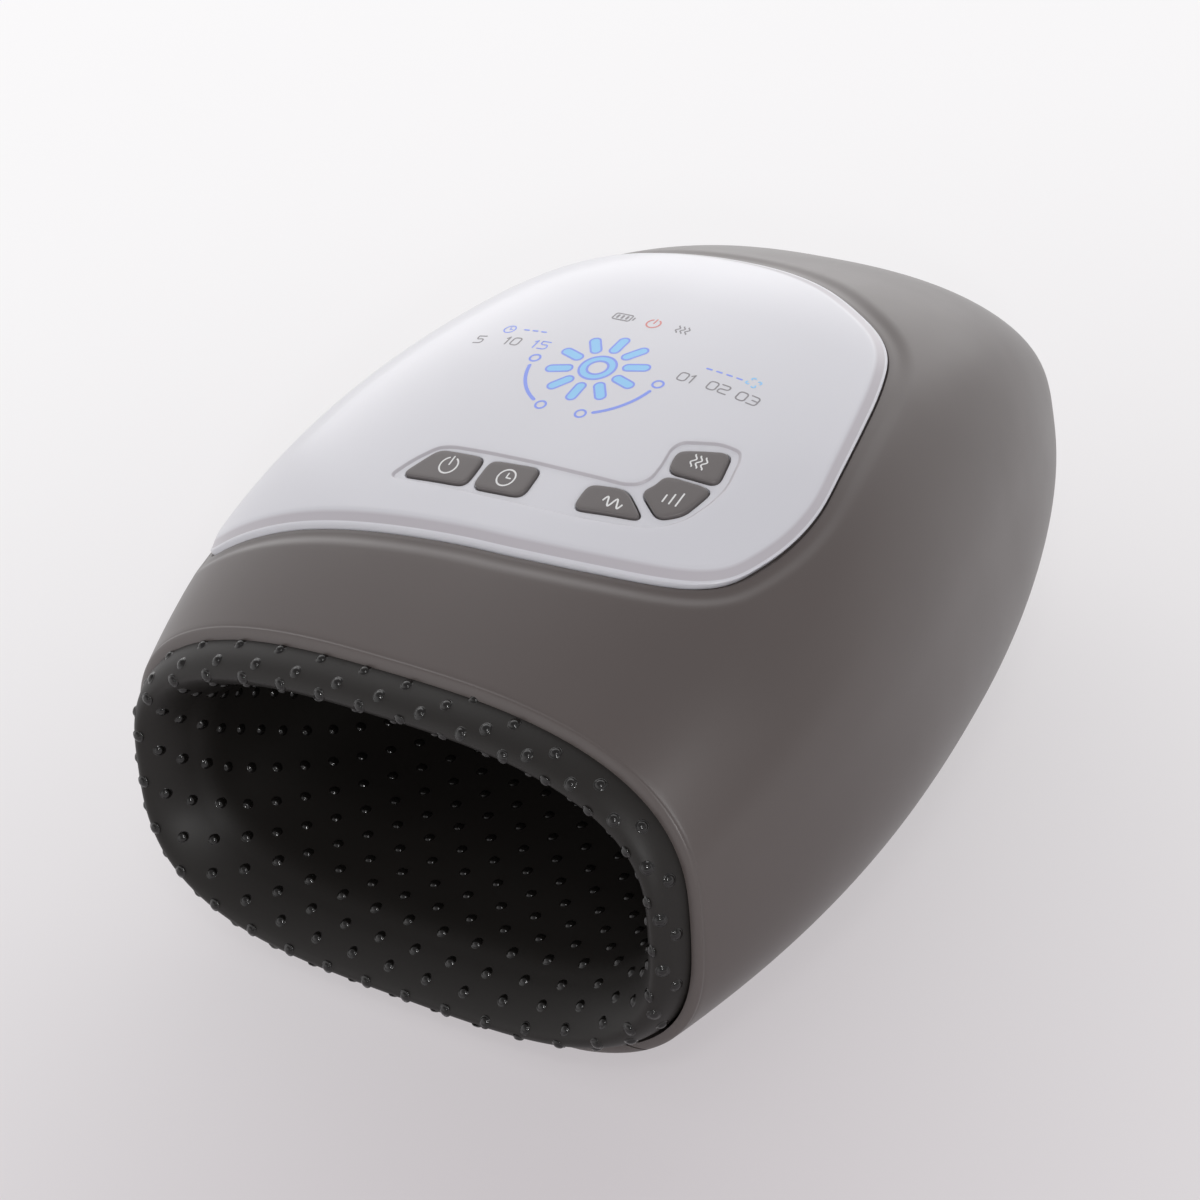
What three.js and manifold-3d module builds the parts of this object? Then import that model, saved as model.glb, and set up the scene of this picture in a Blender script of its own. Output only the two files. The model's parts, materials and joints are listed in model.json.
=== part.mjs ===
// A hand compression massager: a domed case with an open mouth at the front, a soft bumpy sleeve
// that the hand goes into, air bags around that sleeve, and a touch panel with five keys on top.
// Millimetres, +Z up, mouth towards -Y. The origin is on the table, under the middle of the case.
import * as THREE from 'three';
import { mergeVertices } from 'three/addons/utils/BufferGeometryUtils.js';
import Module from 'manifold-3d';

const wasm = await Module();
wasm.setup();

// Case: its mouth, and how much wider and higher than the mouth it is at four stations behind it
const caseLength = 219.3;
const mouthHalfWidth = 82.5;
const quarterSwell = 7.6;
const middleSwell = 0.1;
const hindSwell = -15.7;
const tailSwell = -27.7;
const mouthHeight = 84.1;
const quarterRise = 18.9;
const middleRise = 28.2;
const hindRise = 25.5;
const tailRise = 8.7;
const caseWall = 2.6;
const baseCut = 2.5;
const splitHeight = 9;
const lipRadius = 2.4;
const clearance = 0.3;
const softClearance = 0.5;
const overrun = 5;

// Shape numbers of the case: superellipse powers and shares of its length and height
const stationShares = [0, 0.25, 0.5, 0.75, 1];
const frontTopPower = 2.78;
const rearTopPower = 2.62;
const bottomPower = 3.05;
const planPower = 3.36;
const sidePower = 2.02;
const closingShare = 0.563;
const centreShare = 0.531;
const leanShare = 0.177;
const leanEndShare = 0.65;
const leanPower = 1.5;

// Sleeve and the pocket inside it
const rimWidth = 16.2;
const rimReach = 11.5;
const rimCrestInset = 10.5;
const rimSeat = 8;
const sleeveWall = 1.8;
const pocketTaperShare = 0.08;
const pocketRise = 3;
const pocketClosingShare = 0.5;
const pocketClosingPower = 2.4;
const pocketPower = 2.9;

// Chassis around the sleeve
const frameThickness = 5.2;
const cradleWall = 1.8;
const bagThickness = 4.5;
const filmThickness = 0.6;
const bagSpanShare = 0.74;
const bagGap = 8;
const postRadius = 2.2;

// Display panel and its seat in the case
const panelHalfSpan = 70;
const panelStartShare = 0.11856;
const panelLengthShare = 0.5814;
const panelThickness = 1.6;
const panelProud = 0.9;
const panelBevel = 3.8;
const panelSink = 0.3;
const panelLedge = 6;
const ledgeThickness = 1.6;
const bandWidth = 4.6;
const bandDepth = 0.8;
const bandShoulder = 0.7;

// Keypad
const padLeft = -26.5;
const padSpan = 73.5;
const padFrontShare = 0.20976;
const padDepthShare = 0.14136;
const keyLeanDegrees = 15;
const keyProud = 1.1;
const keyTravel = 0.5;
const keyFlange = 0.5;
const keyFlangeThickness = 0.9;
const keyStemRadius = 1.5;
const keyCornerRadius = 1.4;
const islandDepth = 0.5;
const islandCornerRadius = 2;
const keyGap = 0.3;
const switchSide = 6;
const switchHeight = 2.6;
const plungerRadius = 1.5;
const plungerReach = 0.9;
const boardThickness = 1.6;
const boardMargin = 4;

// Electronics, battery and air parts
const displayHalfWidth = 44;
const displayFrontShare = 0.3648;
const displayBackShare = 0.53352;
const guideThickness = 4;
const guideWall = 1.6;
const mainBoardHalfWidth = 27;
const trayBackShare = 0.76972;
const mainBoardLength = 52;
const mainBoardPost = 3.4;
const chipHeight = 2;
const cellRadius = 9.2;
const cellLength = 65;
const trayWall = 1.6;
const trayDepth = 7;
const trayPost = 2;
const valveSide = 11;
const valveHeadroom = 0.6;
const valvePitch = 22;
const valveBore = 2.4;
const valveFloor = 2;
const valveTravel = 1;
const manifoldThickness = 5;
const manifoldPost = 1.6;
const motorRadius = 12;
const motorLength = 27;
const headRadius = 13.5;
const headLength = 24;
const headWall = 3;
const shaftRadius = 1;
const crankRadius = 6.5;
const crankThickness = 3;
const crankPinRadius = 1.3;
const crankPinLength = 6;
const pumpSetback = 25.1;
const pumpGap = 3.3;
const saddleDepthShare = 0.8;
const saddleThickness = 5;
const hoseRadius = 2.4;
const leadRadius = 1;

// Base, feet, screws and the charging inlet
const footRadius = 6.5;
const footEdge = 0.8;
const footRecess = 1;
const screwHeadRadius = 2.8;
const screwHeadHeight = 1.8;
const screwRadius = 1.4;
const screwLength = 8;
const screwSeat = 3;
const bossRadius = 4.8;
const bossHeight = 6.2;
const ribThickness = 2;
const socketWidth = 9;
const socketHeight = 3.4;
const socketLength = 9;
const socketWall = 0.5;
const socketFloor = 2;
const socketTongueWidth = 6.6;
const socketTongueThickness = 0.7;

// Fineness of the facets
const caseSides = 48;
const liningSides = 32;
const skinSides = 56;
const caseRings = 8;
const roundSides = 16;
const smallSides = 8;
const outlineSteps = 52;
const hoseSteps = 20;
const leadSides = 6;
const leadSteps = 14;

// Points of one mesh closer than this share of the clearance are one point
const weldShare = 0.0003;

const clamp01 = (value) => Math.min(1, Math.max(0, value));

// A smooth curve through one value at each of the five stations
function blendStations(values, share) {
  let sum = 0;
  stationShares.forEach((own, i) => {
    let weight = 1;
    stationShares.forEach((other, j) => {
      if (j !== i) weight *= (share - other) / (own - other);
    });
    sum += values[i] * weight;
  });
  return sum;
}

const halfWidths = [0, quarterSwell, middleSwell, hindSwell, tailSwell].map((swell) => mouthHalfWidth + swell);
const heights = [0, quarterRise, middleRise, hindRise, tailRise].map((rise) => mouthHeight + rise);
const halfWidthAt = (station) => blendStations(halfWidths, station / caseLength);
const heightAt = (station) => blendStations(heights, station / caseLength);

// How far the slanted mouth pushes a point back, more the higher it is
function leanAt(station, height) {
  const fade = Math.max(0, 1 - station / caseLength / leanEndShare) ** leanPower;
  return leanShare * height * fade;
}

// A point on the case, at a station and an angle around the section, sunk by an inset
function casePoint(station, angle, inset = 0) {
  const share = station / caseLength;
  const closing = clamp01((station / (caseLength - inset) - closingShare) / (1 - closingShare));
  const planFactor = (1 - closing ** planPower) ** (1 / planPower);
  const sideFactor = (1 - closing ** sidePower) ** (1 / sidePower);
  const centre = centreShare * heightAt(station);
  const across = Math.cos(angle);
  const up = Math.sin(angle);
  const topPower = frontTopPower + (rearTopPower - frontTopPower) * share;
  const power = up >= 0 ? topPower : bottomPower;
  const reach = (Math.abs(across) ** power + Math.abs(up) ** power) ** (1 / power);
  const half = up >= 0 ? heightAt(station) - centre : centre;
  const x = ((halfWidthAt(station) - inset) * planFactor * across) / reach;
  const z = centre + ((half - inset) * sideFactor * up) / reach;
  return new THREE.Vector3(x, station + leanAt(station, z), z);
}

// A point on the top of the case, by its distance around the section from the crown
function topPoint(girth, station, inset = 0) {
  return casePoint(station, Math.PI / 2 - girth / halfWidthAt(station), inset);
}

// Indexed geometry from rings of equal length, closed by a point at each end or onto itself
function ringSolid(rings, startPoint, endPoint) {
  const count = rings[0].length;
  const positions = [];
  const faces = [];
  rings.forEach((ring) => ring.forEach((p) => positions.push(p.x, p.y, p.z)));
  const looped = !startPoint;
  const spans = looped ? rings.length : rings.length - 1;
  for (let r = 0; r < spans; r += 1) {
    const next = (r + 1) % rings.length;
    for (let i = 0; i < count; i += 1) {
      const j = (i + 1) % count;
      const a = r * count + i;
      const b = r * count + j;
      const c = next * count + j;
      const d = next * count + i;
      faces.push(a, b, c, a, c, d);
    }
  }
  if (!looped) {
    const first = positions.length / 3;
    positions.push(startPoint.x, startPoint.y, startPoint.z, endPoint.x, endPoint.y, endPoint.z);
    const last = (rings.length - 1) * count;
    for (let i = 0; i < count; i += 1) {
      const j = (i + 1) % count;
      faces.push(first, j, i, first + 1, last + i, last + j);
    }
  }
  return outwards(positions, faces);
}

// Turns the faces round where they enclose a negative volume
function outwards(positions, faces) {
  const corner = (k) => new THREE.Vector3().fromArray(positions, 3 * k);
  let volume = 0;
  for (let f = 0; f < faces.length; f += 3) {
    const [a, b, c] = [corner(faces[f]), corner(faces[f + 1]), corner(faces[f + 2])];
    volume += a.dot(b.cross(c));
  }
  if (volume < 0) {
    for (let f = 0; f < faces.length; f += 3) {
      [faces[f + 1], faces[f + 2]] = [faces[f + 2], faces[f + 1]];
    }
  }
  const geometry = new THREE.BufferGeometry();
  geometry.setAttribute('position', new THREE.Float32BufferAttribute(positions, 3));
  geometry.setIndex(faces);
  return geometry;
}

const centreOf = (ring) => {
  const sum = new THREE.Vector3();
  ring.forEach((p) => sum.add(p));
  return sum.divideScalar(ring.length);
};

// Solids for cutting and joining
function solid(geometry) {
  const plain = geometry.clone();
  plain.deleteAttribute('normal');
  plain.deleteAttribute('uv');
  const merged = mergeVertices(plain, weldShare * clearance);
  return new wasm.Manifold(new wasm.Mesh({
    numProp: 3,
    vertProperties: Float32Array.from(merged.attributes.position.array),
    triVerts: Uint32Array.from(merged.index.array),
  }));
}

function geometryOf(body) {
  const mesh = body.getMesh();
  const geometry = new THREE.BufferGeometry();
  geometry.setAttribute('position', new THREE.Float32BufferAttribute(mesh.vertProperties, mesh.numProp));
  geometry.setIndex(Array.from(mesh.triVerts));
  return geometry;
}

const cutAll = (body, tools) => tools.reduce((rest, tool) => rest.subtract(tool), body);
const joinAll = (body, more) => more.reduce((whole, piece) => whole.add(piece), body);

function box(low, high) {
  const size = new THREE.Vector3().subVectors(high, low);
  const middle = new THREE.Vector3().addVectors(low, high).multiplyScalar(1 / 2);
  const geometry = new THREE.BoxGeometry(size.x, size.y, size.z);
  geometry.translate(middle.x, middle.y, middle.z);
  return solid(geometry);
}

const boxAt = (x0, x1, y0, y1, z0, z1) => box(new THREE.Vector3(x0, y0, z0), new THREE.Vector3(x1, y1, z1));

// An upright or lying cylinder between two heights along its axis
function rod(radius, low, high, axis, first, second, sides = roundSides) {
  const geometry = new THREE.CylinderGeometry(radius, radius, high - low, sides);
  geometry.translate(0, (low + high) / 2, 0);
  if (axis === 'z') {
    geometry.rotateX(Math.PI / 2);
    geometry.translate(first, second, 0);
  } else {
    geometry.rotateZ(-Math.PI / 2);
    geometry.translate(0, first, second);
  }
  return solid(geometry);
}

// The whole case as one closed body at an inset, from a first station to the tail
function caseBody(inset, firstStation, sides, lipRings = []) {
  const rings = [];
  const ringAt = (station, depth) => {
    const ring = [];
    for (let i = 0; i < sides; i += 1) ring.push(casePoint(station, (2 * Math.PI * i) / sides, depth));
    return ring;
  };
  lipRings.forEach(([station, depth]) => rings.push(ringAt(station, inset + depth)));
  const tail = caseLength - inset;
  const closing = closingShare * tail;
  const start = lipRings.length > 0 ? lipRings[lipRings.length - 1][0] + lipRadius : firstStation;
  for (let i = 0; i <= caseRings; i += 1) {
    rings.push(ringAt(start + ((closing - start) * i) / caseRings, inset));
  }
  for (let i = 1; i < caseRings; i += 1) {
    const share = Math.sin((Math.PI / 2) * (i / caseRings));
    rings.push(ringAt(closing + (tail - closing) * share, inset));
  }
  return ringSolid(rings, centreOf(rings[0]), casePoint(tail, 0, inset));
}

// The pump lies across the tail, and the pocket ends in front of its saddle
const pumpStation = caseLength - pumpSetback;
const saddleHalfDepth = saddleDepthShare * headRadius;
const pocketDepth = pumpStation - saddleHalfDepth - pumpGap - cradleWall - softClearance - sleeveWall;

// Pocket: its half width, half height and middle height at a station, grown by a margin
const pocketHalfWidth = mouthHalfWidth - rimWidth;
const pocketHalfHeight = mouthHeight / 2 - rimWidth;
const pocketTaperAt = (station) => 1 - (pocketTaperShare * Math.max(0, station)) / pocketDepth;
const pocketCentreAt = (station) => mouthHeight / 2 + (pocketRise * Math.max(0, station)) / pocketDepth;
const pocketMiddle = pocketCentreAt(pocketDepth / 2);

function pocketRing(station, sideMargin, upMargin, endMargin, sides = liningSides) {
  const depth = pocketDepth + endMargin;
  const closing = clamp01((station / depth - pocketClosingShare) / (1 - pocketClosingShare));
  const factor = (1 - closing ** pocketClosingPower) ** (1 / pocketClosingPower);
  const taper = pocketTaperAt(station);
  const ring = [];
  for (let i = 0; i < sides; i += 1) {
    const angle = (2 * Math.PI * i) / sides;
    const reach = (Math.abs(Math.cos(angle)) ** pocketPower + Math.abs(Math.sin(angle)) ** pocketPower)
      ** (1 / pocketPower);
    const across = Math.cos(angle) / reach;
    const up = Math.sin(angle) / reach;
    const x = (pocketHalfWidth * taper + sideMargin) * factor * across;
    const z = pocketCentreAt(station) + (pocketHalfHeight * taper + upMargin) * factor * up;
    ring.push(new THREE.Vector3(x, station + leanAt(station, z), z));
  }
  return ring;
}

const pocketStationShares = [0.06, 0.28, 0.5, 0.62, 0.73, 0.83, 0.91, 0.965, 0.993];

function pocketEnd(endMargin) {
  const station = pocketDepth + endMargin;
  return new THREE.Vector3(0, station, pocketCentreAt(station));
}

// The pocket's shape as a closed body, grown by margins and running out of the mouth
function pocketBody(sideMargin, upMargin, endMargin, firstStation) {
  const depth = pocketDepth + endMargin;
  const stations = [firstStation, ...pocketStationShares.map((share) => share * depth)];
  const rings = stations.map((station) => pocketRing(station, sideMargin, upMargin, endMargin));
  return ringSolid(rings, centreOf(rings[0]), pocketEnd(endMargin));
}

// Closed outline in girth and station, smooth through its points or with rounded corners
function smoothOutline(points, steps) {
  const curve = new THREE.CatmullRomCurve3(points.map(([u, s]) => new THREE.Vector3(u, s, 0)), true);
  return curve.getSpacedPoints(steps).slice(0, steps).map((p) => new THREE.Vector2(p.x, p.y));
}

function roundedOutline(corners, radius, arcSteps = 2) {
  const points = [];
  corners.forEach(([u, s], i) => {
    const here = new THREE.Vector2(u, s);
    const before = new THREE.Vector2(...corners[(i + corners.length - 1) % corners.length]);
    const after = new THREE.Vector2(...corners[(i + 1) % corners.length]);
    const toBefore = before.clone().sub(here);
    const toAfter = after.clone().sub(here);
    const reach = Math.min(radius, toBefore.length() / 3, toAfter.length() / 3);
    const from = here.clone().add(toBefore.setLength(reach));
    const to = here.clone().add(toAfter.setLength(reach));
    const arc = new THREE.QuadraticBezierCurve(from, here, to);
    points.push(...arc.getPoints(arcSteps));
  });
  return points;
}

// The outline moved outwards by a growth, or drawn in towards its middle by a share
function offsetOutline(outline, growth) {
  const count = outline.length;
  const area = THREE.ShapeUtils.area(outline);
  const side = area > 0 ? 1 : -1;
  return outline.map((p, i) => {
    const before = outline[(i + count - 1) % count];
    const after = outline[(i + 1) % count];
    const along = after.clone().sub(before).normalize();
    return new THREE.Vector2(p.x + side * along.y * growth, p.y - side * along.x * growth);
  });
}

function drawIn(outline, share) {
  const middle = outline.reduce((sum, p) => sum.add(p), new THREE.Vector2()).divideScalar(outline.length);
  return outline.map((p) => middle.clone().lerp(p, share));
}

// A body that follows the top of the case: each layer is an outline and the inset it lies at
function skinBody(layers) {
  const rings = layers.map(({ outline, inset }) => outline.map((p) => topPoint(p.x, p.y, inset)));
  const middleOf = ({ outline, inset }) => {
    const middle = drawIn(outline, 0)[0];
    return topPoint(middle.x, middle.y, inset);
  };
  return ringSolid(rings, middleOf(layers[0]), middleOf(layers[layers.length - 1]));
}

const inwardShares = [0.25, 0.5, 0.75];
const layer = (outline, inset) => ({ outline, inset });

// A small sheet between two insets under one outline
function skinSheet(outline, topInset, bottomInset) {
  return skinBody([layer(outline, bottomInset), layer(outline, topInset)]);
}

// Panel outline: shares of its half span across and of its length along. It wraps over the left side.
const panelOutlineShares = [
  [-1.23, 0.02], [-1.12, 0], [-0.94, 0], [-0.65, 0.017], [-0.413, 0.03], [-0.03, 0.047], [0.206, 0.052],
  [0.453, 0.066], [0.679, 0.093], [0.813, 0.125], [0.899, 0.167], [0.944, 0.217], [0.987, 0.296],
  [0.996, 0.391], [0.957, 0.504], [0.9, 0.631], [0.841, 0.736], [0.763, 0.829], [0.68, 0.877],
  [0.517, 0.925], [0.347, 0.966], [0.131, 0.994], [-0.063, 1], [-0.27, 0.99], [-0.44, 0.975],
  [-0.63, 0.941], [-0.81, 0.882], [-0.97, 0.792], [-1.11, 0.651], [-1.23, 0.486], [-1.3, 0.33],
  [-1.33, 0.17], [-1.3, 0.07],
];
const panelStart = panelStartShare * caseLength;
const panelLength = panelLengthShare * caseLength;
const panelPoints = panelOutlineShares.map(([a, b]) => [a * panelHalfSpan, panelStart + b * panelLength]);
const panelOutline = smoothOutline(panelPoints, outlineSteps);

// Keys: corners as shares of the keypad's span and depth
const keyCornerShares = {
  power: [[-0.01, -0.025], [0.064, 0.287], [0.239, 0.3], [0.238, 0.003]],
  timer: [[0.265, 0], [0.267, 0.29], [0.454, 0.323], [0.456, 0.026]],
  mode: [[0.641, 0.042], [0.641, 0.297], [0.764, 0.35], [0.87, 0.142]],
  level: [[0.806, 0.376], [0.839, 0.468], [0.839, 0.587], [0.999, 0.632], [0.97, 0.323], [0.909, 0.194]],
  heat: [[0.839, 0.629], [0.822, 0.848], [0.971, 1.019], [1, 0.684]],
};
const islandCornerShares = [
  [-0.05, -0.07], [0.5, -0.045], [0.68, -0.026], [0.8, 0.02], [0.89, 0.081], [0.94, 0.161], [0.985, 0.29],
  [1.015, 0.5], [1.026, 0.69], [1.003, 0.98], [0.984, 1.065], [0.92, 1.061], [0.81, 0.94], [0.795, 0.85],
  [0.805, 0.65], [0.804, 0.516], [0.78, 0.426], [0.74, 0.387], [0.56, 0.368], [0.4, 0.365], [0.225, 0.352],
  [0.1, 0.336], [0.054, 0.303], [0, 0.15],
];
const padFront = padFrontShare * caseLength;
const padDepth = padDepthShare * caseLength;
const padPoint = ([a, b]) => [padLeft + a * padSpan, padFront + b * padDepth];

// The keypad's own frame: its plane leans with the case, and the keys travel along its normal
const keyLean = THREE.MathUtils.degToRad(keyLeanDegrees);
const padMiddleShares = [0.5, 0.4];
const padMiddle = topPoint(...padPoint(padMiddleShares));
const padFrame = new THREE.Matrix4().makeRotationX(keyLean).setPosition(padMiddle);
const padInverse = padFrame.clone().invert();
const toPad = (point) => point.clone().applyMatrix4(padInverse);

// A straight prism along the keypad's normal between two levels
function padPrism(outline, low, high) {
  const shape = new THREE.Shape(outline.map((p) => {
    const local = toPad(topPoint(p.x, p.y));
    return new THREE.Vector2(local.x, local.y);
  }));
  const geometry = new THREE.ExtrudeGeometry(shape, { depth: high - low, bevelEnabled: false });
  geometry.translate(0, 0, low);
  geometry.applyMatrix4(padFrame);
  return solid(geometry);
}

function padBox(x0, x1, y0, y1, z0, z1) {
  const geometry = new THREE.BoxGeometry(x1 - x0, y1 - y0, z1 - z0);
  geometry.translate((x0 + x1) / 2, (y0 + y1) / 2, (z0 + z1) / 2);
  geometry.applyMatrix4(padFrame);
  return solid(geometry);
}

function padRod(radius, low, high, x, y) {
  const geometry = new THREE.CylinderGeometry(radius, radius, high - low, smallSides);
  geometry.rotateX(Math.PI / 2);
  geometry.translate(x, y, (low + high) / 2);
  geometry.applyMatrix4(padFrame);
  return solid(geometry);
}

// Node list
const root = new THREE.Group();
const looks = {
  taupe: ['#5f5959', 0.55, 0],
  pearl: ['#dcdce0', 0.3, 0],
  keyGrey: ['#6a6664', 0.5, 0],
  softBlack: ['#191816', 0.35, 0],
  rubber: ['#1c1c1c', 0.8, 0],
  innerWhite: ['#c9c9c4', 0.6, 0],
  board: ['#1f5a38', 0.5, 0.1],
  blackPlastic: ['#202022', 0.5, 0],
  diffuser: ['#eceff2', 0.4, 0],
  bag: ['#38414c', 0.6, 0],
  film: ['#b9822f', 0.5, 0.2],
  cell: ['#3f6f9c', 0.4, 0.1],
  steel: ['#a9abad', 0.35, 0.9],
  brass: ['#b99a5a', 0.35, 0.9],
  hose: ['#d4d8d2', 0.35, 0],
  lead: ['#a12a22', 0.5, 0],
};

function material(look) {
  const [color, roughness, metalness] = looks[look];
  return new THREE.MeshStandardMaterial({ color, roughness, metalness });
}

function place(name, shape, look, parent = root) {
  const geometry = shape.isBufferGeometry ? shape : geometryOf(shape);
  const mesh = new THREE.Mesh(geometry, material(look));
  mesh.name = name;
  parent.add(mesh);
  return mesh;
}

// Case solids, with the lip rounded in shares of its radius: how far back, and how far in
const lipShares = [[0, 1], [0.12, 0.45], [0.5, 0.12], [1.2, 0]];
const lipRings = lipShares.map(([back, inwards]) => [back * lipRadius, inwards * lipRadius]);
const caseOuter = solid(caseBody(0, 0, caseSides, lipRings));
const caseInner = solid(caseBody(caseWall, -overrun, liningSides));
const farOut = 2 * caseLength;
const halfSpace = (low, high) => boxAt(-farOut, farOut, -farOut, farOut, low, high);
const caseSolid = caseOuter.intersect(halfSpace(baseCut, farOut));
const innerSpace = caseInner.intersect(halfSpace(baseCut + caseWall, farOut));
const caseShell = caseSolid.subtract(innerSpace);

// Chassis solids
const bagSpace = bagThickness + filmThickness + 3 * clearance;
const sideMargin = sleeveWall + softClearance;
const upMargin = sleeveWall + bagSpace;
const cradleInner = solid(pocketBody(sideMargin, upMargin, sleeveWall + softClearance, -overrun));
const cradleGrowth = (margin) => solid(pocketBody(
  sideMargin + margin,
  upMargin + margin,
  sleeveWall + softClearance + margin,
  -overrun,
));
const cradleOuter = cradleGrowth(cradleWall);
const cradleKeepOut = cradleGrowth(cradleWall + softClearance);
const frameBack = rimSeat + clearance + frameThickness;
const cradleFront = frameBack + clearance;

// A ring parallel to the slanted mouth, kept above the floor of the case
function mouthRing(station, inset, sides = liningSides) {
  const ring = [];
  for (let i = 0; i < sides; i += 1) {
    const edge = casePoint(0, (2 * Math.PI * i) / sides, inset);
    const z = Math.max(edge.z, baseCut + caseWall + clearance);
    ring.push(new THREE.Vector3(edge.x, station + leanAt(0, z), z));
  }
  return ring;
}
const cutFront = mouthRing(cradleFront, -overrun);
const cutBack = mouthRing(cradleFront + farOut, -overrun);
const cradleCut = solid(ringSolid([cutFront, cutBack], centreOf(cutFront), centreOf(cutBack)));

// Highest point of the cradle over a stretch of stations
function cradleTopAt(station) {
  const ring = pocketRing(station, sideMargin + cradleWall, upMargin + cradleWall,
    sleeveWall + softClearance + cradleWall);
  return Math.max(...ring.map((p) => p.z));
}

// Upper boards stand on posts of the upper cradle
const posts = [];
function stand(x, y, top) {
  posts.push(rod(postRadius, pocketMiddle + clearance, top - clearance, 'z', x, y, smallSides));
}

// Keys with their switches
const keys = {};
const panelUnder = solid(caseBody(panelThickness, 0, skinSides));
const flangeTop = panelThickness + softClearance;
const flangeBottom = flangeTop + keyFlangeThickness;
const keyHoles = [];
const overTop = caseLength / 2;
let lowestFlange = Infinity;
Object.entries(keyCornerShares).forEach(([name, shares]) => {
  const outline = roundedOutline(shares.map(padPoint), keyCornerRadius);
  const middle = drawIn(outline, 0)[0];
  const seat = toPad(topPoint(middle.x, middle.y, flangeBottom));
  keys[name] = { outline, seat };
  lowestFlange = Math.min(lowestFlange, seat.z);
  const capHole = padPrism(offsetOutline(outline, keyGap), -padDepth, padDepth);
  const flangeHole = padPrism(offsetOutline(outline, keyFlange + keyGap), -padDepth, padDepth);
  keyHoles.push(capHole, flangeHole.intersect(panelUnder));
});
const plungerTop = lowestFlange - keyTravel - 2 * clearance;
const switchTop = plungerTop - plungerReach;
const boardTop = switchTop - switchHeight - clearance;
const boardBottom = boardTop - boardThickness;
const keyCap = solid(caseBody(-keyProud, 0, skinSides));
const flangeLayer = solid(caseBody(flangeTop, 0, skinSides))
  .subtract(solid(caseBody(flangeBottom, 0, skinSides)));

Object.entries(keys).forEach(([name, key]) => {
  const { outline, seat } = key;
  const cap = padPrism(outline, seat.z, overTop).intersect(keyCap);
  const flange = padPrism(offsetOutline(outline, keyFlange), -padDepth, padDepth).intersect(flangeLayer);
  const stem = padRod(keyStemRadius, plungerTop + clearance, seat.z + keyFlangeThickness / 2, seat.x, seat.y);
  place(`key_${name}`, cap.add(flange).add(stem), 'keyGrey');
  const half = switchSide / 2;
  const bore = padRod(plungerRadius + clearance, switchTop - keyTravel - 3 * clearance, switchTop + overrun,
    seat.x, seat.y);
  const housing = padBox(seat.x - half, seat.x + half, seat.y - half, seat.y + half,
    boardTop + clearance, switchTop);
  place(`switch_body_${name}`, housing.subtract(bore), 'blackPlastic');
  place(`switch_plunger_${name}`, padRod(plungerRadius, switchTop - 2 * clearance, plungerTop,
    seat.x, seat.y), 'innerWhite');
});

// Key board
const seats = Object.values(keys).map((key) => key.seat);
const boardSpread = switchSide / 2 + boardMargin;
const keyBoardLow = new THREE.Vector2(
  Math.min(...seats.map((p) => p.x - boardSpread), -mainBoardHalfWidth - 4 * postRadius - padMiddle.x),
  Math.min(...seats.map((p) => p.y)) - boardSpread,
);
const keyBoardHigh = new THREE.Vector2(
  Math.max(...seats.map((p) => p.x)) + boardSpread,
  Math.max(...seats.map((p) => p.y)) + boardSpread,
);
const chip = padBox(keyBoardLow.x + 2 * boardMargin, keyBoardLow.x + 4 * boardMargin,
  keyBoardHigh.y - 3 * boardMargin, keyBoardHigh.y - boardMargin,
  boardTop - boardThickness / 2, boardTop + chipHeight);
place('key_board', padBox(keyBoardLow.x, keyBoardHigh.x, keyBoardLow.y, keyBoardHigh.y, boardBottom, boardTop)
  .add(chip), 'board');
[keyBoardLow.x + postRadius * 2, keyBoardHigh.x - postRadius * 2].forEach((x) => {
  [keyBoardLow.y + postRadius * 2, keyBoardHigh.y - postRadius * 2].forEach((y) => {
    const foot = new THREE.Vector3(x, y, boardBottom).applyMatrix4(padFrame);
    posts.push(rod(postRadius, pocketMiddle + clearance, foot.z + overrun, 'z', foot.x, foot.y, smallSides)
      .subtract(padBox(-farOut, farOut, -farOut, farOut, boardBottom - clearance, farOut)));
  });
});

// Panel with its island and key holes
const islandOutline = roundedOutline(islandCornerShares.map(padPoint), islandCornerRadius, 2);
const crestOutline = offsetOutline(panelOutline, -panelBevel);
const windowOutline = offsetOutline(panelOutline, -panelLedge);
const panelBlank = solid(skinBody([
  ...inwardShares.map((share) => layer(drawIn(windowOutline, share), panelThickness)),
  layer(windowOutline, panelThickness),
  layer(panelOutline, panelThickness),
  layer(panelOutline, panelSink),
  layer(offsetOutline(panelOutline, -panelBevel / 4), -panelProud / 3),
  layer(crestOutline, -panelProud),
  ...inwardShares.map((share) => layer(drawIn(crestOutline, share), -panelProud)).reverse(),
]));
const islandFloor = solid(caseBody(islandDepth - panelProud, 0, skinSides));
const island = padPrism(islandOutline, -overrun, overTop).subtract(islandFloor);
const displayFront = displayFrontShare * caseLength;
const displayBack = displayBackShare * caseLength;
const frontY = topPoint(0, displayFront).y;
const backY = topPoint(0, displayBack).y;
place('display_panel', cutAll(panelBlank, [island, ...keyHoles]), 'pearl');

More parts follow.
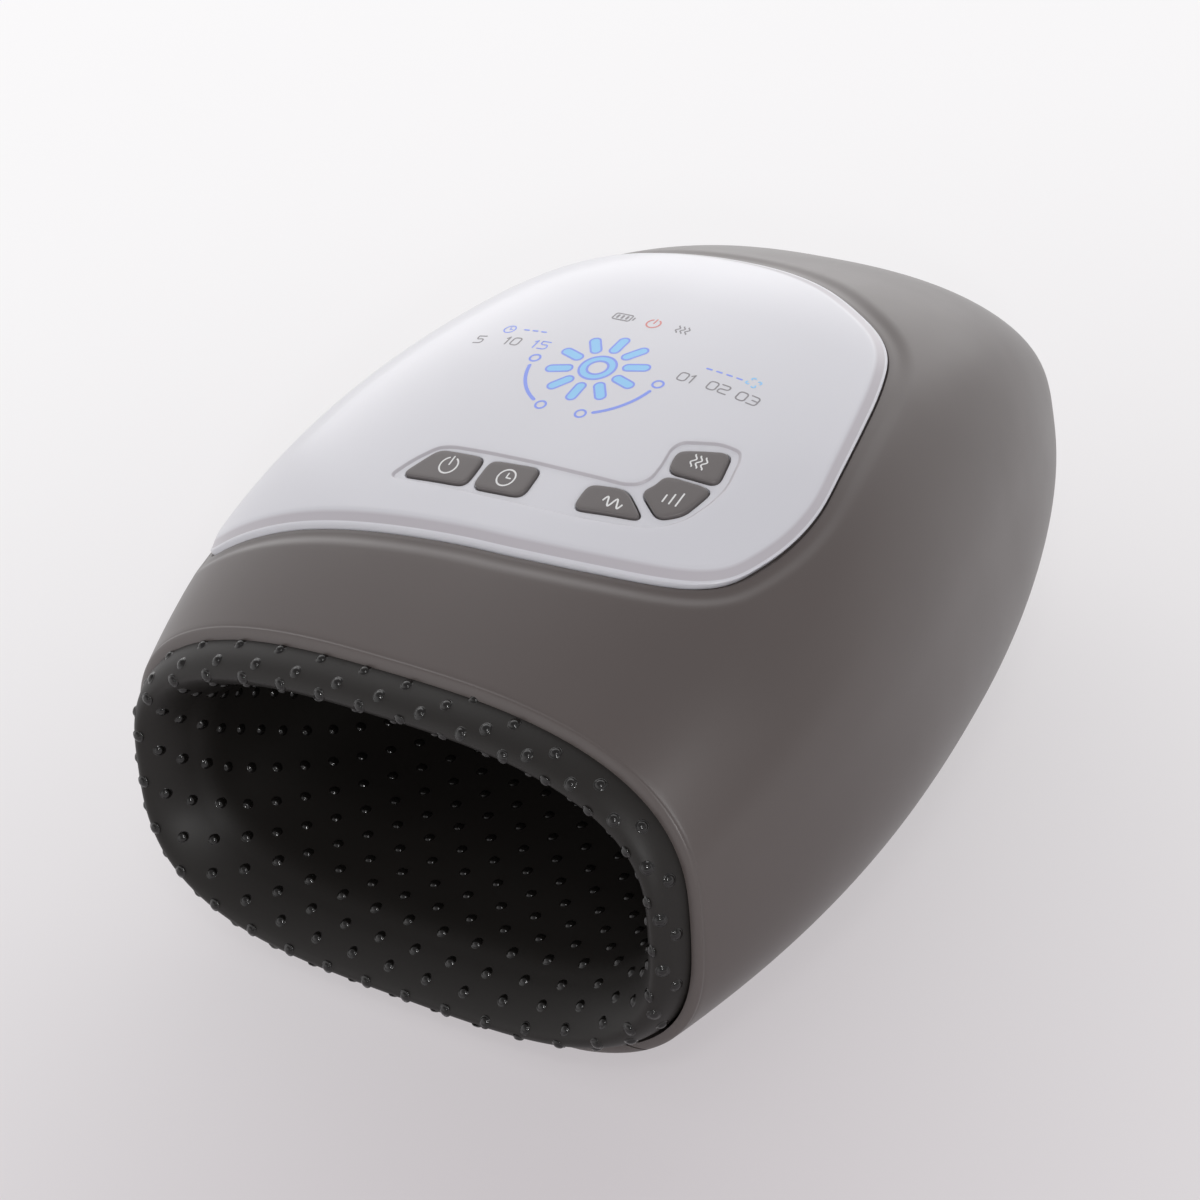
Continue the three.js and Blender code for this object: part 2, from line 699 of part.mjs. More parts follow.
// Seat of the panel in the case: a soft sunk band, a ledge and a window
const seatInset = panelThickness + clearance;
const insideWindow = offsetOutline(windowOutline, -clearance);
const seatOutline = offsetOutline(panelOutline, clearance);
const bandOutline = offsetOutline(panelOutline, bandWidth);
const farAbove = -panelHalfSpan / 2;
const seatCut = solid(skinBody([
  layer(insideWindow, seatInset),
  layer(seatOutline, seatInset),
  layer(seatOutline, bandDepth),
  layer(offsetOutline(panelOutline, bandWidth - bandShoulder), bandDepth / 3),
  layer(bandOutline, -bandDepth / 2),
  layer(bandOutline, -2 * bandDepth),
  layer(insideWindow, farAbove),
]));
const windowCut = solid(skinSheet(windowOutline, farAbove, seatInset + ledgeThickness + overrun));
const ledge = solid(ringSolid([
  layer(bandOutline, seatInset - clearance),
  layer(bandOutline, seatInset + ledgeThickness),
  layer(insideWindow, seatInset + ledgeThickness),
  layer(insideWindow, seatInset - clearance),
].map(({ outline, inset }) => outline.map((p) => topPoint(p.x, p.y, inset)))));

// Screw places along each side, and where the wall is at the parting height
const screwStationShares = [0.14, 0.4, 0.64];
function wallAt(station, height) {
  const centre = centreShare * heightAt(station);
  const closing = clamp01((station / (caseLength - caseWall) - closingShare) / (1 - closingShare));
  const side = (1 - closing ** sidePower) ** (1 / sidePower);
  const plan = (1 - closing ** planPower) ** (1 / planPower);
  const down = Math.min(1, (centre - height) / ((centre - caseWall) * side));
  return (halfWidthAt(station) - caseWall) * plan * (1 - down ** bottomPower) ** (1 / bottomPower);
}
const screwPlaces = screwStationShares.flatMap((share) => {
  const y = share * caseLength;
  const x = wallAt(y, splitHeight) - bossRadius;
  return [[-x, y], [x, y]];
});

// Feet on the flat base
const footPlaceShares = [[0.45, 0.1], [-0.45, 0.1], [0.28, 0.62], [-0.28, 0.62]];
const footPlaces = footPlaceShares.map(([across, along]) => [across * mouthHalfWidth, along * caseLength]);
const footTop = baseCut + footRecess - clearance;
function footShape() {
  const profile = [
    [0, 0], [footRadius - footEdge, 0], [footRadius, footEdge], [footRadius, footTop], [0, footTop],
  ].map(([r, z]) => new THREE.Vector2(r, z));
  return new THREE.LatheGeometry(profile, roundSides).rotateX(Math.PI / 2);
}

// Charging inlet at the tail
const tailHeightMiddle = casePoint(caseLength, 0).z;
const socketBack = caseLength - caseWall / 2;
const socketHole = boxAt(-socketWidth / 2 - clearance, socketWidth / 2 + clearance,
  caseLength - caseWall - overrun, farOut, tailHeightMiddle - socketHeight / 2 - clearance,
  tailHeightMiddle + socketHeight / 2 + clearance);

// Upper shell
const pumpHeight = tailHeightMiddle + headRadius / 2;
const saddleBottom = pumpHeight - headRadius - saddleThickness;
const skinKeep = solid(caseBody(caseWall / 2, -overrun, liningSides));
const saddlePostShare = 0.7;
const saddlePostXs = [-saddlePostShare * headLength, saddlePostShare * motorLength];
const saddlePosts = saddlePostXs.map((x) => rod(postRadius, baseCut, saddleBottom - clearance, 'z', x,
  pumpStation, smallSides).intersect(skinKeep));
const bossTop = splitHeight + bossHeight;
const upperBosses = screwPlaces.map(([x, y]) => {
  const side = Math.sign(x);
  const rib = boxAt(Math.min(x, x + side * 3 * bossRadius), Math.max(x, x + side * 3 * bossRadius),
    y - ribThickness, y + ribThickness, splitHeight + clearance / 2, bossTop);
  return rod(bossRadius, splitHeight + clearance / 2, bossTop, 'z', x, y, smallSides).add(rib)
    .intersect(skinKeep).subtract(cradleKeepOut);
});
const upperHoles = screwPlaces.map(([x, y]) => rod(screwRadius + clearance, 0,
  baseCut + screwSeat + screwLength + clearance, 'z', x, y, smallSides));
let upperShell = caseShell.intersect(halfSpace(splitHeight + clearance / 2, farOut));
upperShell = joinAll(upperShell, [ledge.intersect(caseSolid), ...upperBosses, ...saddlePosts]);
upperShell = cutAll(upperShell, [seatCut, windowCut, ...upperHoles, socketHole]);
place('upper_shell', upperShell, 'taupe');

// Lower shell: a shallow cover with feet recesses and screw wells
const lowerBosses = screwPlaces.map(([x, y]) => rod(bossRadius, baseCut, splitHeight - clearance / 2,
  'z', x, y, smallSides).intersect(skinKeep));
const screwWells = screwPlaces.map(([x, y]) => rod(screwHeadRadius + softClearance, 0, baseCut + screwSeat,
  'z', x, y, smallSides));
let lowerShell = caseShell.intersect(halfSpace(0, splitHeight - clearance / 2));
lowerShell = joinAll(lowerShell, lowerBosses);
lowerShell = cutAll(lowerShell, [
  ...screwWells,
  ...upperHoles,
  ...footPlaces.map(([x, y]) => rod(footRadius + clearance, 0, baseCut + footRecess, 'z', x, y)),
]);
place('lower_shell', lowerShell, 'taupe');

footPlaces.forEach(([x, y], i) => {
  place(`foot_${i + 1}`, footShape(), 'rubber').position.set(x, y, 0);
});

function screwShape() {
  const profile = [
    [0, 0], [screwHeadRadius, 0], [screwHeadRadius, screwHeadHeight], [screwRadius, screwHeadHeight],
    [screwRadius, screwHeadHeight + screwLength - 2 * screwRadius], [0, screwHeadHeight + screwLength],
  ].map(([r, z]) => new THREE.Vector2(r, z));
  return new THREE.LatheGeometry(profile, smallSides).rotateX(Math.PI / 2);
}
screwPlaces.forEach(([x, y], i) => {
  place(`case_screw_${i + 1}`, screwShape(), 'steel')
    .position.set(x, y, baseCut + screwSeat - screwHeadHeight - clearance);
});

// Sleeve: the pocket, its fat rim and the back of the pocket wall, as rings along one profile
const rimOuterInset = caseWall + clearance;
const crestSteps = 4;
const crest = [];
for (let i = 0; i <= crestSteps; i += 1) {
  const angle = (Math.PI / 2) * (i / crestSteps);
  const inset = rimOuterInset + (rimCrestInset - rimOuterInset) * (1 - Math.cos(angle));
  crest.push([-rimReach * Math.sin(angle), inset]);
}
const rollIn = [];
for (let i = 1; i <= crestSteps; i += 1) {
  const angle = (Math.PI / 2) * (i / crestSteps);
  rollIn.push([-rimReach * Math.cos(angle), rimCrestInset + (rimWidth - rimCrestInset) * Math.sin(angle)]);
}
const sleeveRings = [
  ...pocketStationShares.map((share) => pocketRing(share * pocketDepth, 0, 0, 0)).reverse(),
  ...[...crest, ...rollIn].reverse().map(([station, inset]) => mouthRing(station, inset)),
  mouthRing(rimSeat, rimOuterInset),
  mouthRing(rimSeat, rimWidth - sleeveWall),
  ...pocketStationShares.slice(1).map((share) => pocketRing(share * (pocketDepth + sleeveWall), sleeveWall,
    sleeveWall, sleeveWall)),
];
place('liner_sleeve', ringSolid(sleeveRings, pocketEnd(0), pocketEnd(sleeveWall)), 'softBlack');

// Mouth frame behind the rim
const frameInner = rimWidth - sleeveWall - softClearance;
place('mouth_frame', ringSolid([
  mouthRing(rimSeat + clearance, rimOuterInset),
  mouthRing(frameBack, rimOuterInset),
  mouthRing(frameBack, frameInner),
  mouthRing(rimSeat + clearance, frameInner),
]), 'blackPlastic');

// Air bags above and below the sleeve, and the heating film under the upper bags
function sleeveKeepOut(margin) {
  const growth = sleeveWall + margin;
  return solid(pocketBody(growth, growth, growth, -overrun));
}
const bagRoom = cradleGrowth(-clearance);
const bagHalfSpan = bagSpanShare * pocketHalfWidth;
const palmFront = cradleFront + bagGap * 2;
const palmBackShare = 0.5;
const fingerBackShare = 0.86;
const palmBack = palmBackShare * pocketDepth;
const fingerBack = fingerBackShare * pocketDepth;
const bagStretches = {
  palm: [palmFront, palmBack - bagGap / 2],
  finger: [palmBack + bagGap / 2, fingerBack],
};
const filmTop = 2 * clearance + filmThickness;
Object.entries(bagStretches).forEach(([name, [front, back]]) => {
  const upperRoom = boxAt(-bagHalfSpan, bagHalfSpan, front, back, pocketMiddle, farOut);
  const lowerRoom = boxAt(-bagHalfSpan, bagHalfSpan, front, back, -farOut, pocketMiddle);
  place(`${name}_airbag_upper`, bagRoom.subtract(sleeveKeepOut(filmTop)).intersect(upperRoom), 'bag');
  place(`${name}_airbag_lower`, bagRoom.subtract(sleeveKeepOut(clearance)).intersect(lowerRoom), 'bag');
});
const filmInset = bagGap / 2;
place('heating_film', sleeveKeepOut(clearance + filmThickness).subtract(sleeveKeepOut(clearance)).intersect(
  boxAt(-bagHalfSpan + filmInset, bagHalfSpan - filmInset, palmFront + filmInset, fingerBack - filmInset,
    pocketMiddle, farOut),
), 'film');

// Light guide and display board under the panel's symbols
const guideSkin = solid(caseBody(panelThickness + 2 * softClearance, 0, skinSides));
const guideFloor = Math.min(
  topPoint(displayHalfWidth, displayFront, panelThickness).z,
  topPoint(displayHalfWidth, displayBack, panelThickness).z,
) - guideThickness;
const cells = [];
const cellColumns = 6;
const cellRows = 3;
for (let i = 0; i < cellColumns; i += 1) {
  for (let j = 0; j < cellRows; j += 1) {
    const width = (2 * displayHalfWidth) / cellColumns;
    const length = (backY - frontY) / cellRows;
    const x = -displayHalfWidth + i * width;
    const y = frontY + j * length;
    const edge = guideWall / 2;
    cells.push(boxAt(x + edge, x + width - edge, y + edge, y + length - edge,
      guideFloor - overrun, guideFloor + guideThickness / 2));
  }
}
place('light_guide', cutAll(guideSkin.intersect(boxAt(-displayHalfWidth, displayHalfWidth, frontY, backY,
  guideFloor, farOut)), cells), 'diffuser');
const displayTop = guideFloor - clearance;
place('display_board', boxAt(-displayHalfWidth, displayHalfWidth, frontY, backY, displayTop - boardThickness,
  displayTop), 'board');
[-1, 1].forEach((side) => [frontY + 2 * postRadius, backY - 2 * postRadius].forEach((y) => {
  stand(side * (displayHalfWidth - 2 * postRadius), y, displayTop - boardThickness);
}));

// Main board on the cradle
const cellPitch = 2 * cellRadius + trayWall;
const trayBack = trayBackShare * caseLength;
const trayFront = trayBack - 2 * cellPitch - trayWall;
const manifoldBack = trayFront - clearance;
const manifoldFront = manifoldBack - valveSide - trayWall;
const mainBack = manifoldFront - clearance;
const mainBoardFront = mainBack - mainBoardLength;
const mainTop = cradleTopAt(mainBoardFront + mainBoardLength / 2) + mainBoardPost + boardThickness;
const chipShares = [[-0.6, 0.2, 0.5, 0.25], [0.25, 0.55, 0.4, 0.2], [-0.7, 0.62, 0.35, 0.2]];
const chips = chipShares.map(([x, y, w, l]) => boxAt(
  x * mainBoardHalfWidth, (x + w) * mainBoardHalfWidth, mainBoardFront + y * mainBoardLength,
  mainBoardFront + (y + l) * mainBoardLength, mainTop - boardThickness / 2, mainTop + chipHeight,
));
place('main_board', joinAll(boxAt(-mainBoardHalfWidth, mainBoardHalfWidth, mainBoardFront, mainBack,
  mainTop - boardThickness, mainTop), chips), 'board');
[-1, 1].forEach((side) => [mainBoardFront + 2 * postRadius, mainBack - 2 * postRadius].forEach((y) => {
  stand(side * (mainBoardHalfWidth - 2 * postRadius), y, mainTop - boardThickness);
}));

// Valves on an air manifold behind the main board
const manifoldHalfWidth = valvePitch + valveSide;
const manifoldBottom = cradleTopAt(manifoldFront) + manifoldPost;
const manifoldTop = manifoldBottom + manifoldThickness;
place('air_manifold', boxAt(-manifoldHalfWidth, manifoldHalfWidth, manifoldFront, manifoldBack,
  manifoldBottom, manifoldTop), 'innerWhite');
[-1, 1].forEach((side) => {
  stand(side * (manifoldHalfWidth - 2 * postRadius), (manifoldFront + manifoldBack) / 2, manifoldBottom);
});
['palm', 'finger', 'release'].forEach((name, i) => {
  const x = (i - 1) * valvePitch;
  const y = (manifoldFront + manifoldBack) / 2;
  const low = manifoldTop + clearance;
  const half = valveSide / 2;
  const top = displayTop - boardThickness - valveHeadroom;
  const floor = low + valveFloor;
  place(`valve_body_${name}`, boxAt(x - half, x + half, y - half, y + half, low, top)
    .subtract(rod(valveBore, floor, top + overrun, 'z', x, y, smallSides)), 'steel');
  place(`valve_plunger_${name}`, rod(valveBore - clearance, floor + valveTravel + clearance, top - valveFloor,
    'z', x, y, smallSides), 'brass');
});

// Two battery cells in a tray behind the manifold
const trayBottom = cradleTopAt(trayFront) + trayPost;
const cellHeight = trayBottom + trayWall + cellRadius;
const cellYs = [trayFront + trayWall + cellRadius, trayFront + trayWall + cellRadius + cellPitch];
const trayHalf = cellLength / 2 + clearance + trayWall;
const cellRoomHalf = cellLength / 2 + clearance;
place('battery_tray', cutAll(
  boxAt(-trayHalf, trayHalf, trayFront, trayBack, trayBottom, trayBottom + trayDepth),
  cellYs.map((y) => rod(cellRadius + clearance, -cellRoomHalf, cellRoomHalf, 'x', y, cellHeight + clearance)),
), 'blackPlastic');
['front', 'rear'].forEach((name, i) => {
  place(`battery_cell_${name}`, rod(cellRadius, -cellLength / 2, cellLength / 2, 'x', cellYs[i],
    cellHeight + clearance), 'cell');
});
[-1, 1].forEach((side) => [trayFront + 2 * postRadius, trayFront + cellPitch].forEach((y) => {
  stand(side * (trayHalf - 3 * postRadius), y, trayBottom);
}));

// Cradle halves
const cradleShell = cradleOuter.subtract(cradleInner).intersect(cradleCut);
const upperHalf = halfSpace(pocketMiddle + clearance / 2, farOut);
const lowerHalf = halfSpace(-farOut, pocketMiddle - clearance / 2);
place('upper_cradle', joinAll(cradleShell, posts).subtract(cradleInner).intersect(upperHalf), 'innerWhite');
const legPlaceShare = 0.6;
const legs = footPlaces.map(([x, y]) => rod(2 * postRadius, baseCut + caseWall + clearance,
  pocketMiddle - clearance, 'z', legPlaceShare * x, y + bagGap, smallSides));
place('lower_cradle', joinAll(cradleShell, legs).subtract(cradleInner).intersect(lowerHalf), 'innerWhite');

// Air pump across the tail: motor, head with the crank inside, and the saddle they lie in
const splitX = 0;
place('pump_motor', rod(motorRadius, splitX + clearance, splitX + motorLength, 'x', pumpStation, pumpHeight)
  .subtract(rod(shaftRadius + clearance, -overrun, motorLength / 3, 'x', pumpStation, pumpHeight)), 'steel');
const headBore = rod(headRadius - headWall, splitX - headLength + headWall, overrun, 'x', pumpStation,
  pumpHeight);
place('pump_head', rod(headRadius, splitX - headLength, splitX, 'x', pumpStation, pumpHeight)
  .subtract(headBore), 'blackPlastic');
const crankBack = splitX - headLength / 3;
const crankFront = crankBack - crankThickness;
place('pump_crank', joinAll(rod(shaftRadius, crankBack - crankThickness / 2, motorLength / 3 - clearance, 'x',
  pumpStation, pumpHeight), [
  rod(crankRadius, crankFront, crankBack, 'x', pumpStation, pumpHeight),
  rod(crankPinRadius, crankFront - crankPinLength, crankBack - crankThickness / 2, 'x', pumpStation,
    pumpHeight + crankRadius - 2 * crankPinRadius, smallSides),
]), 'steel');
const saddleTop = pumpHeight - headRadius / 3;
place('pump_bracket', cutAll(
  boxAt(-headLength + overrun, motorLength - overrun, pumpStation - saddleHalfDepth,
    pumpStation + saddleHalfDepth, saddleBottom, saddleTop),
  [
    rod(headRadius + clearance, -farOut, splitX + clearance, 'x', pumpStation, pumpHeight),
    rod(motorRadius + clearance, splitX, farOut, 'x', pumpStation, pumpHeight),
  ],
), 'innerWhite');

// Charging inlet: a flat shell with a tongue, open to the back
const halfInlet = socketWidth / 2;
const inletLow = tailHeightMiddle - socketHeight / 2;
const inletHigh = tailHeightMiddle + socketHeight / 2;
const inletFront = socketBack - socketLength;
const inletCavity = boxAt(-halfInlet + socketWall, halfInlet - socketWall, inletFront + socketFloor, farOut,
  inletLow + socketWall, inletHigh - socketWall);
const tongue = boxAt(-socketTongueWidth / 2, socketTongueWidth / 2, inletFront + socketFloor / 2,
  socketBack - socketFloor, tailHeightMiddle - socketTongueThickness / 2,
  tailHeightMiddle + socketTongueThickness / 2);
place('charging_socket', boxAt(-halfInlet, halfInlet, inletFront, socketBack, inletLow, inletHigh)
  .subtract(inletCavity).add(tongue), 'steel');

// Hose from the pump head to the manifold, and the battery lead
function tube(points, radius, sides, steps) {
  const curve = new THREE.CatmullRomCurve3(points);
  const shape = new THREE.Shape();
  for (let i = 0; i < sides; i += 1) {
    const angle = (2 * Math.PI * i) / sides;
    const x = radius * Math.cos(angle);
    const y = radius * Math.sin(angle);
    if (i === 0) shape.moveTo(x, y);
    else shape.lineTo(x, y);
  }
  return new THREE.ExtrudeGeometry(shape, { extrudePath: curve, steps, bevelEnabled: false });
}
const hoseX = -Math.max(trayHalf, manifoldHalfWidth) - hoseRadius - softClearance;
const hoseStart = new THREE.Vector3(-headLength - softClearance, pumpStation, pumpHeight);
const hoseTurn = new THREE.Vector3(-headLength - 3 * hoseRadius, pumpStation, pumpHeight);
const manifoldMiddle = (manifoldFront + manifoldBack) / 2;
place('air_hose', tube([
  hoseStart,
  hoseTurn,
  new THREE.Vector3(hoseX, pumpStation - 4 * hoseRadius, pumpHeight + 2 * hoseRadius),
  new THREE.Vector3(hoseX, trayBack, manifoldBottom + 2 * hoseRadius),
  new THREE.Vector3(hoseX, trayFront, manifoldBottom + hoseRadius),
  new THREE.Vector3(hoseX, manifoldMiddle + hoseRadius, manifoldBottom + hoseRadius),
], hoseRadius, smallSides, hoseSteps), 'hose');
place('battery_lead', tube([
  new THREE.Vector3(trayHalf + leadRadius + clearance, trayFront + cellPitch, cellHeight),
  new THREE.Vector3(trayHalf + leadRadius + clearance, trayFront, cellHeight - leadRadius),
  new THREE.Vector3(manifoldHalfWidth + leadRadius + clearance, manifoldFront, mainTop + chipHeight),
  new THREE.Vector3(mainBoardHalfWidth - 2 * leadRadius, mainBack - 3 * leadRadius,
    mainTop + leadRadius + clearance),
], leadRadius, leadSides, leadSteps), 'lead');

// Centre the whole model over the origin
root.updateMatrixWorld(true);
const extent = new THREE.Box3().setFromObject(root, true);
root.position.y = -(extent.min.y + extent.max.y) / 2;

export default root;
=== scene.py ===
import json
import math

import bmesh
import bpy
import numpy as np
from mathutils import Matrix, Vector, geometry


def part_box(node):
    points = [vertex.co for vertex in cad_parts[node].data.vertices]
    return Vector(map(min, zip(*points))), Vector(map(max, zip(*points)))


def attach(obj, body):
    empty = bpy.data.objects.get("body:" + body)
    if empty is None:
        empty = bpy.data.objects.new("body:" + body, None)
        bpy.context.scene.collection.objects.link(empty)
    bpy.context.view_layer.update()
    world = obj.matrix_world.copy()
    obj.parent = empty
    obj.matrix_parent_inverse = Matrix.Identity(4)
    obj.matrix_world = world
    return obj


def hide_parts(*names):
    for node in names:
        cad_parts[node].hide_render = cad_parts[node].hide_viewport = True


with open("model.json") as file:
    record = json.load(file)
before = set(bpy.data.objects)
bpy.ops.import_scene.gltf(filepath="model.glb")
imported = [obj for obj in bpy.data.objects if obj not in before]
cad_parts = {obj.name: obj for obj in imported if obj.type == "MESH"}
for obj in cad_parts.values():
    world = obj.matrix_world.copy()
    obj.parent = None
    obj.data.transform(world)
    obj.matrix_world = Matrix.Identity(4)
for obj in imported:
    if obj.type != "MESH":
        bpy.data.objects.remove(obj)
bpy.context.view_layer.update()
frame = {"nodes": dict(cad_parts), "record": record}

# Sizes are in millimetres and become metres when a mesh is made
MM = 0.001

# Case: half widths and heights at five stations from the mouth to the tail
CASE_LENGTH = 219.3
STATION_SHARES = (0, 0.25, 0.5, 0.75, 1)
HALF_WIDTHS = (82.5, 90.1, 82.6, 66.8, 54.8)
HEIGHTS = (84.1, 103, 112.3, 109.6, 92.8)
CASE_WALL = 2.6
BASE_CUT = 2.5
BASE_TURN = 0.5
SPLIT_HEIGHT = 9
SPLIT_GAP = 0.3
LIP_DEPTH = 0.6
LIP_BEAD = ((-0.35, 0.0), (-0.6, 0.03), (-0.8, 0.08), (-1.0, 0.1), (-1.2, 0.05), (-1.4, 0.0))
LIP_FRONT = -2.4
LIP_ROUND = 1.0
LIP_WALL = 2.1
FRONT_TOP_POWER = 2.78
REAR_TOP_POWER = 2.62
BOTTOM_POWER = 3.05
PLAN_POWER = 3.36
SIDE_POWER = 2.02
CLOSING_SHARE = 0.563
CENTRE_SHARE = 0.531
LEAN_SHARE = 0.177
LEAN_END_SHARE = 0.65
LEAN_POWER = 1.5

# Sleeve and the pocket inside it
RIM_WIDTH = 16.2
SIDE_ARC = 11.9
RIM_REACH = 9.5
RIM_CREST_INSET = 7.5
ROLL_ROUND = 1.6
ROLL_SLOPE = 12.0
RIM_SEAT = 8
RIM_GAP = 0.3
SLEEVE_WALL = 1.8
SLEEVE_FLOOR = 5.4
SLEEVE_FLOOR_TURN = 1.0
POCKET_DEPTH = 176
POCKET_FRONT_SHARE = 0.06
BACK_START_SHARE = 0.28
POCKET_TAPER_SHARE = 0.08
POCKET_RISE = 3
POCKET_CLOSING_SHARE = 0.5
POCKET_CLOSING_POWER = 2.4
POCKET_POWER = 2.9
BUMP_PROFILE = ((1.6, -0.35), (1.55, -0.04), (1.36, 0.0), (1.2, 0.06), (1.08, 0.24), (0.84, 0.46), (0.45, 0.6))
BUMP_HEIGHT = 0.64
BUMP_SIDES = 14
BUMPS_PER_ROW = 32
BUMP_RIM_WAYS = (-1.6, 2.6, 7.0, 11.8, 16.8, 22.0, 27.8, 33.8)
BUMP_ROW_PITCH = 6.4
BUMP_PHASE = -1.06
BUMP_ROW_SHIFT = 0.62
BUMP_DRIFT = 6.2
BUMP_DRIFT_END = 56.0
BUMP_DRIFT_TURNS = (92, 42, -75, 45)
BUMP_FIRST_WAY = 0.9
BUMP_END_ROOM = 4

# Panel, its bevel and its seat in the case
PANEL_HALF_SPAN = 70
PANEL_START = 26
PANEL_LENGTH = 127.5
PANEL_THICKNESS = 1.6
PANEL_PROUD = 0.9
PANEL_LEDGE = 6
SEAT_INSET = 1.9
SEAT_GAP = 0.55
LEDGE_THICKNESS = 1.6
BAND_DEPTH = 0.8
PANEL_OUTLINE_SHARES = (
    (-1.23, 0.02), (-1.12, 0), (-0.94, 0), (-0.65, 0.017), (-0.413, 0.03), (-0.03, 0.047), (0.206, 0.052),
    (0.453, 0.066), (0.679, 0.093), (0.813, 0.125), (0.899, 0.167), (0.944, 0.217), (0.987, 0.296),
    (0.996, 0.391), (0.957, 0.504), (0.9, 0.631), (0.841, 0.736), (0.763, 0.829), (0.68, 0.877),
    (0.517, 0.925), (0.347, 0.966), (0.131, 0.994), (-0.063, 1), (-0.27, 0.99), (-0.44, 0.975),
    (-0.63, 0.941), (-0.81, 0.882), (-0.97, 0.792), (-1.11, 0.651), (-1.23, 0.486), (-1.3, 0.33),
    (-1.33, 0.17), (-1.3, 0.07),
)

# Keypad
PAD_LEFT = -26.5
PAD_SPAN = 73.5
PAD_FRONT = 46
PAD_DEPTH = 31
PAD_MIDDLE_SHARES = (0.5, 0.4)
KEY_LEAN = math.radians(15)
KEY_PROUD = 1.1
KEY_GAP = 0.3
KEY_CORNER = 1.5
KEY_FLANGE = 0.5
FLANGE_TOP = 2.1
FLANGE_THICKNESS = 0.9
ISLAND_DEPTH = 0.5
ISLAND_CORNER = 3
KEY_CORNER_SHARES = {
    "power": ((-0.01, -0.025), (0.064, 0.287), (0.239, 0.3), (0.238, 0.003)),
    "timer": ((0.265, 0), (0.267, 0.29), (0.454, 0.323), (0.456, 0.026)),
    "mode": ((0.641, 0.042), (0.641, 0.297), (0.764, 0.35), (0.87, 0.142)),
    "level": ((0.806, 0.376), (0.839, 0.468), (0.839, 0.587), (0.999, 0.632), (0.97, 0.323), (0.909, 0.194)),
    "heat": ((0.839, 0.629), (0.822, 0.848), (0.971, 1.019), (1, 0.684)),
}
ISLAND_CORNER_SHARES = (
    (-0.05, -0.07), (0.5, -0.045), (0.68, -0.026), (0.8, 0.02), (0.89, 0.081), (0.94, 0.161), (0.985, 0.29),
    (1.015, 0.5), (1.026, 0.69), (1.003, 0.98), (0.984, 1.065), (0.92, 1.061), (0.81, 0.94), (0.795, 0.85),
    (0.805, 0.65), (0.804, 0.516), (0.78, 0.426), (0.74, 0.387), (0.56, 0.368), (0.4, 0.365), (0.225, 0.352),
    (0.1, 0.336), (0.054, 0.303), (0, 0.15),
)

# Symbols: the icons' places on the keys, and the dial of lit bars and rings in the middle of the panel
PRINT_HEIGHT = 0.04
PRINT_SINK = 0.05
STROKE_END_TURNS = (84, 60, 30)
BOLD_STROKE = 0.42
THIN_STROKE = 0.36
FIGURE_HEIGHT = 3.0
FIGURE_WIDTH = 2.2
FIGURE_ONE_SHARE = 0.55
FIGURE_CORNER_SHARE = 0.3
FIGURE_GAP = 0.75
KEY_ICON_PLACES = {
    "power": (-16.4, 50.6), "timer": (0.2, 50.8), "mode": (28.9, 52.0), "level": (40.6, 58.8), "heat": (40.2, 71.2),
}
DIAL_MIDDLE = (0, 91.5)
DIAL_RINGS = (2.6, 4.6)
DIAL_BARS = 10
DIAL_BAR_PLACE = 9.6
DIAL_BAR_LENGTH = 6.6
DIAL_BAR_WIDTH = 2.6
DIAL_BRACKET = 17.5
DIAL_BRACKET_TURNS = (217, 323)
DIAL_BRACKET_REACH = 24
DIAL_DOT_REACH = 34
DIAL_DOT_RADIUS = 1.3

# Fineness
CASE_COLUMNS = 256
LOOP_POINTS = 480
FINE_STEP = 0.25
STROKE_STEP = 0.12
WELD = 0.002
LOOP_PASSES = 12
KEY_PASSES = 44
CASE_ROW_STEP = 2.2
INNER_ROW_STEP = 7
TAIL_ROWS = 40
INNER_TAIL_ROWS = 14
PANEL_GRID = 1.6
PANEL_GRID_ROOM = 0.7
UNDER_GRID = 5
UNDER_GRID_ROOM = 1.5
KEY_GRID = 0.8
KEY_GRID_ROOM = 0.35
RIM_RINGS = 51
POCKET_RINGS = 71
BACK_RINGS = 25
LIP_STEPS = 11
ROLL_STEPS = 201
GIRTH_STEPS = 721
CURVE_STEPS = 40
CORNER_STEPS = 12
CORNER_SIDE_PART = 2.2
STROKE_CORNER_STEPS = 9
STROKE_SIDE_PART = 2
SKIN_PASSES = 12
LOOP_CHUNK = 60
WAY_STEP = 0.05
TURN_STEP = 0.0005
PLANE_TOLERANCE = 1e-9
CUT_TOLERANCE = 1e-7
SLEEVE_SIDES = 192

# Where station 0 lies along the row's Y: the front feet stand at a known share of the case
FOOT_STATION_SHARE = 0.1
foot_low, foot_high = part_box("foot_1")
MOUTH_Y = (foot_low[1] + foot_high[1]) / 2 / MM - FOOT_STATION_SHARE * CASE_LENGTH


def blend_stations(values, share):
    """A smooth curve through one value at each of the five stations."""
    total = 0
    for i, own in enumerate(STATION_SHARES):
        weight = 1
        for j, other in enumerate(STATION_SHARES):
            if j != i:
                weight = weight * (share - other) / (own - other)
        total = total + values[i] * weight
    return total


def half_width(station):
    return blend_stations(HALF_WIDTHS, station / CASE_LENGTH)


def lean(station, z):
    """How far the slanted mouth pushes a point back, more the higher it is."""
    fade = np.maximum(0, 1 - station / CASE_LENGTH / LEAN_END_SHARE) ** LEAN_POWER
    return LEAN_SHARE * z * fade


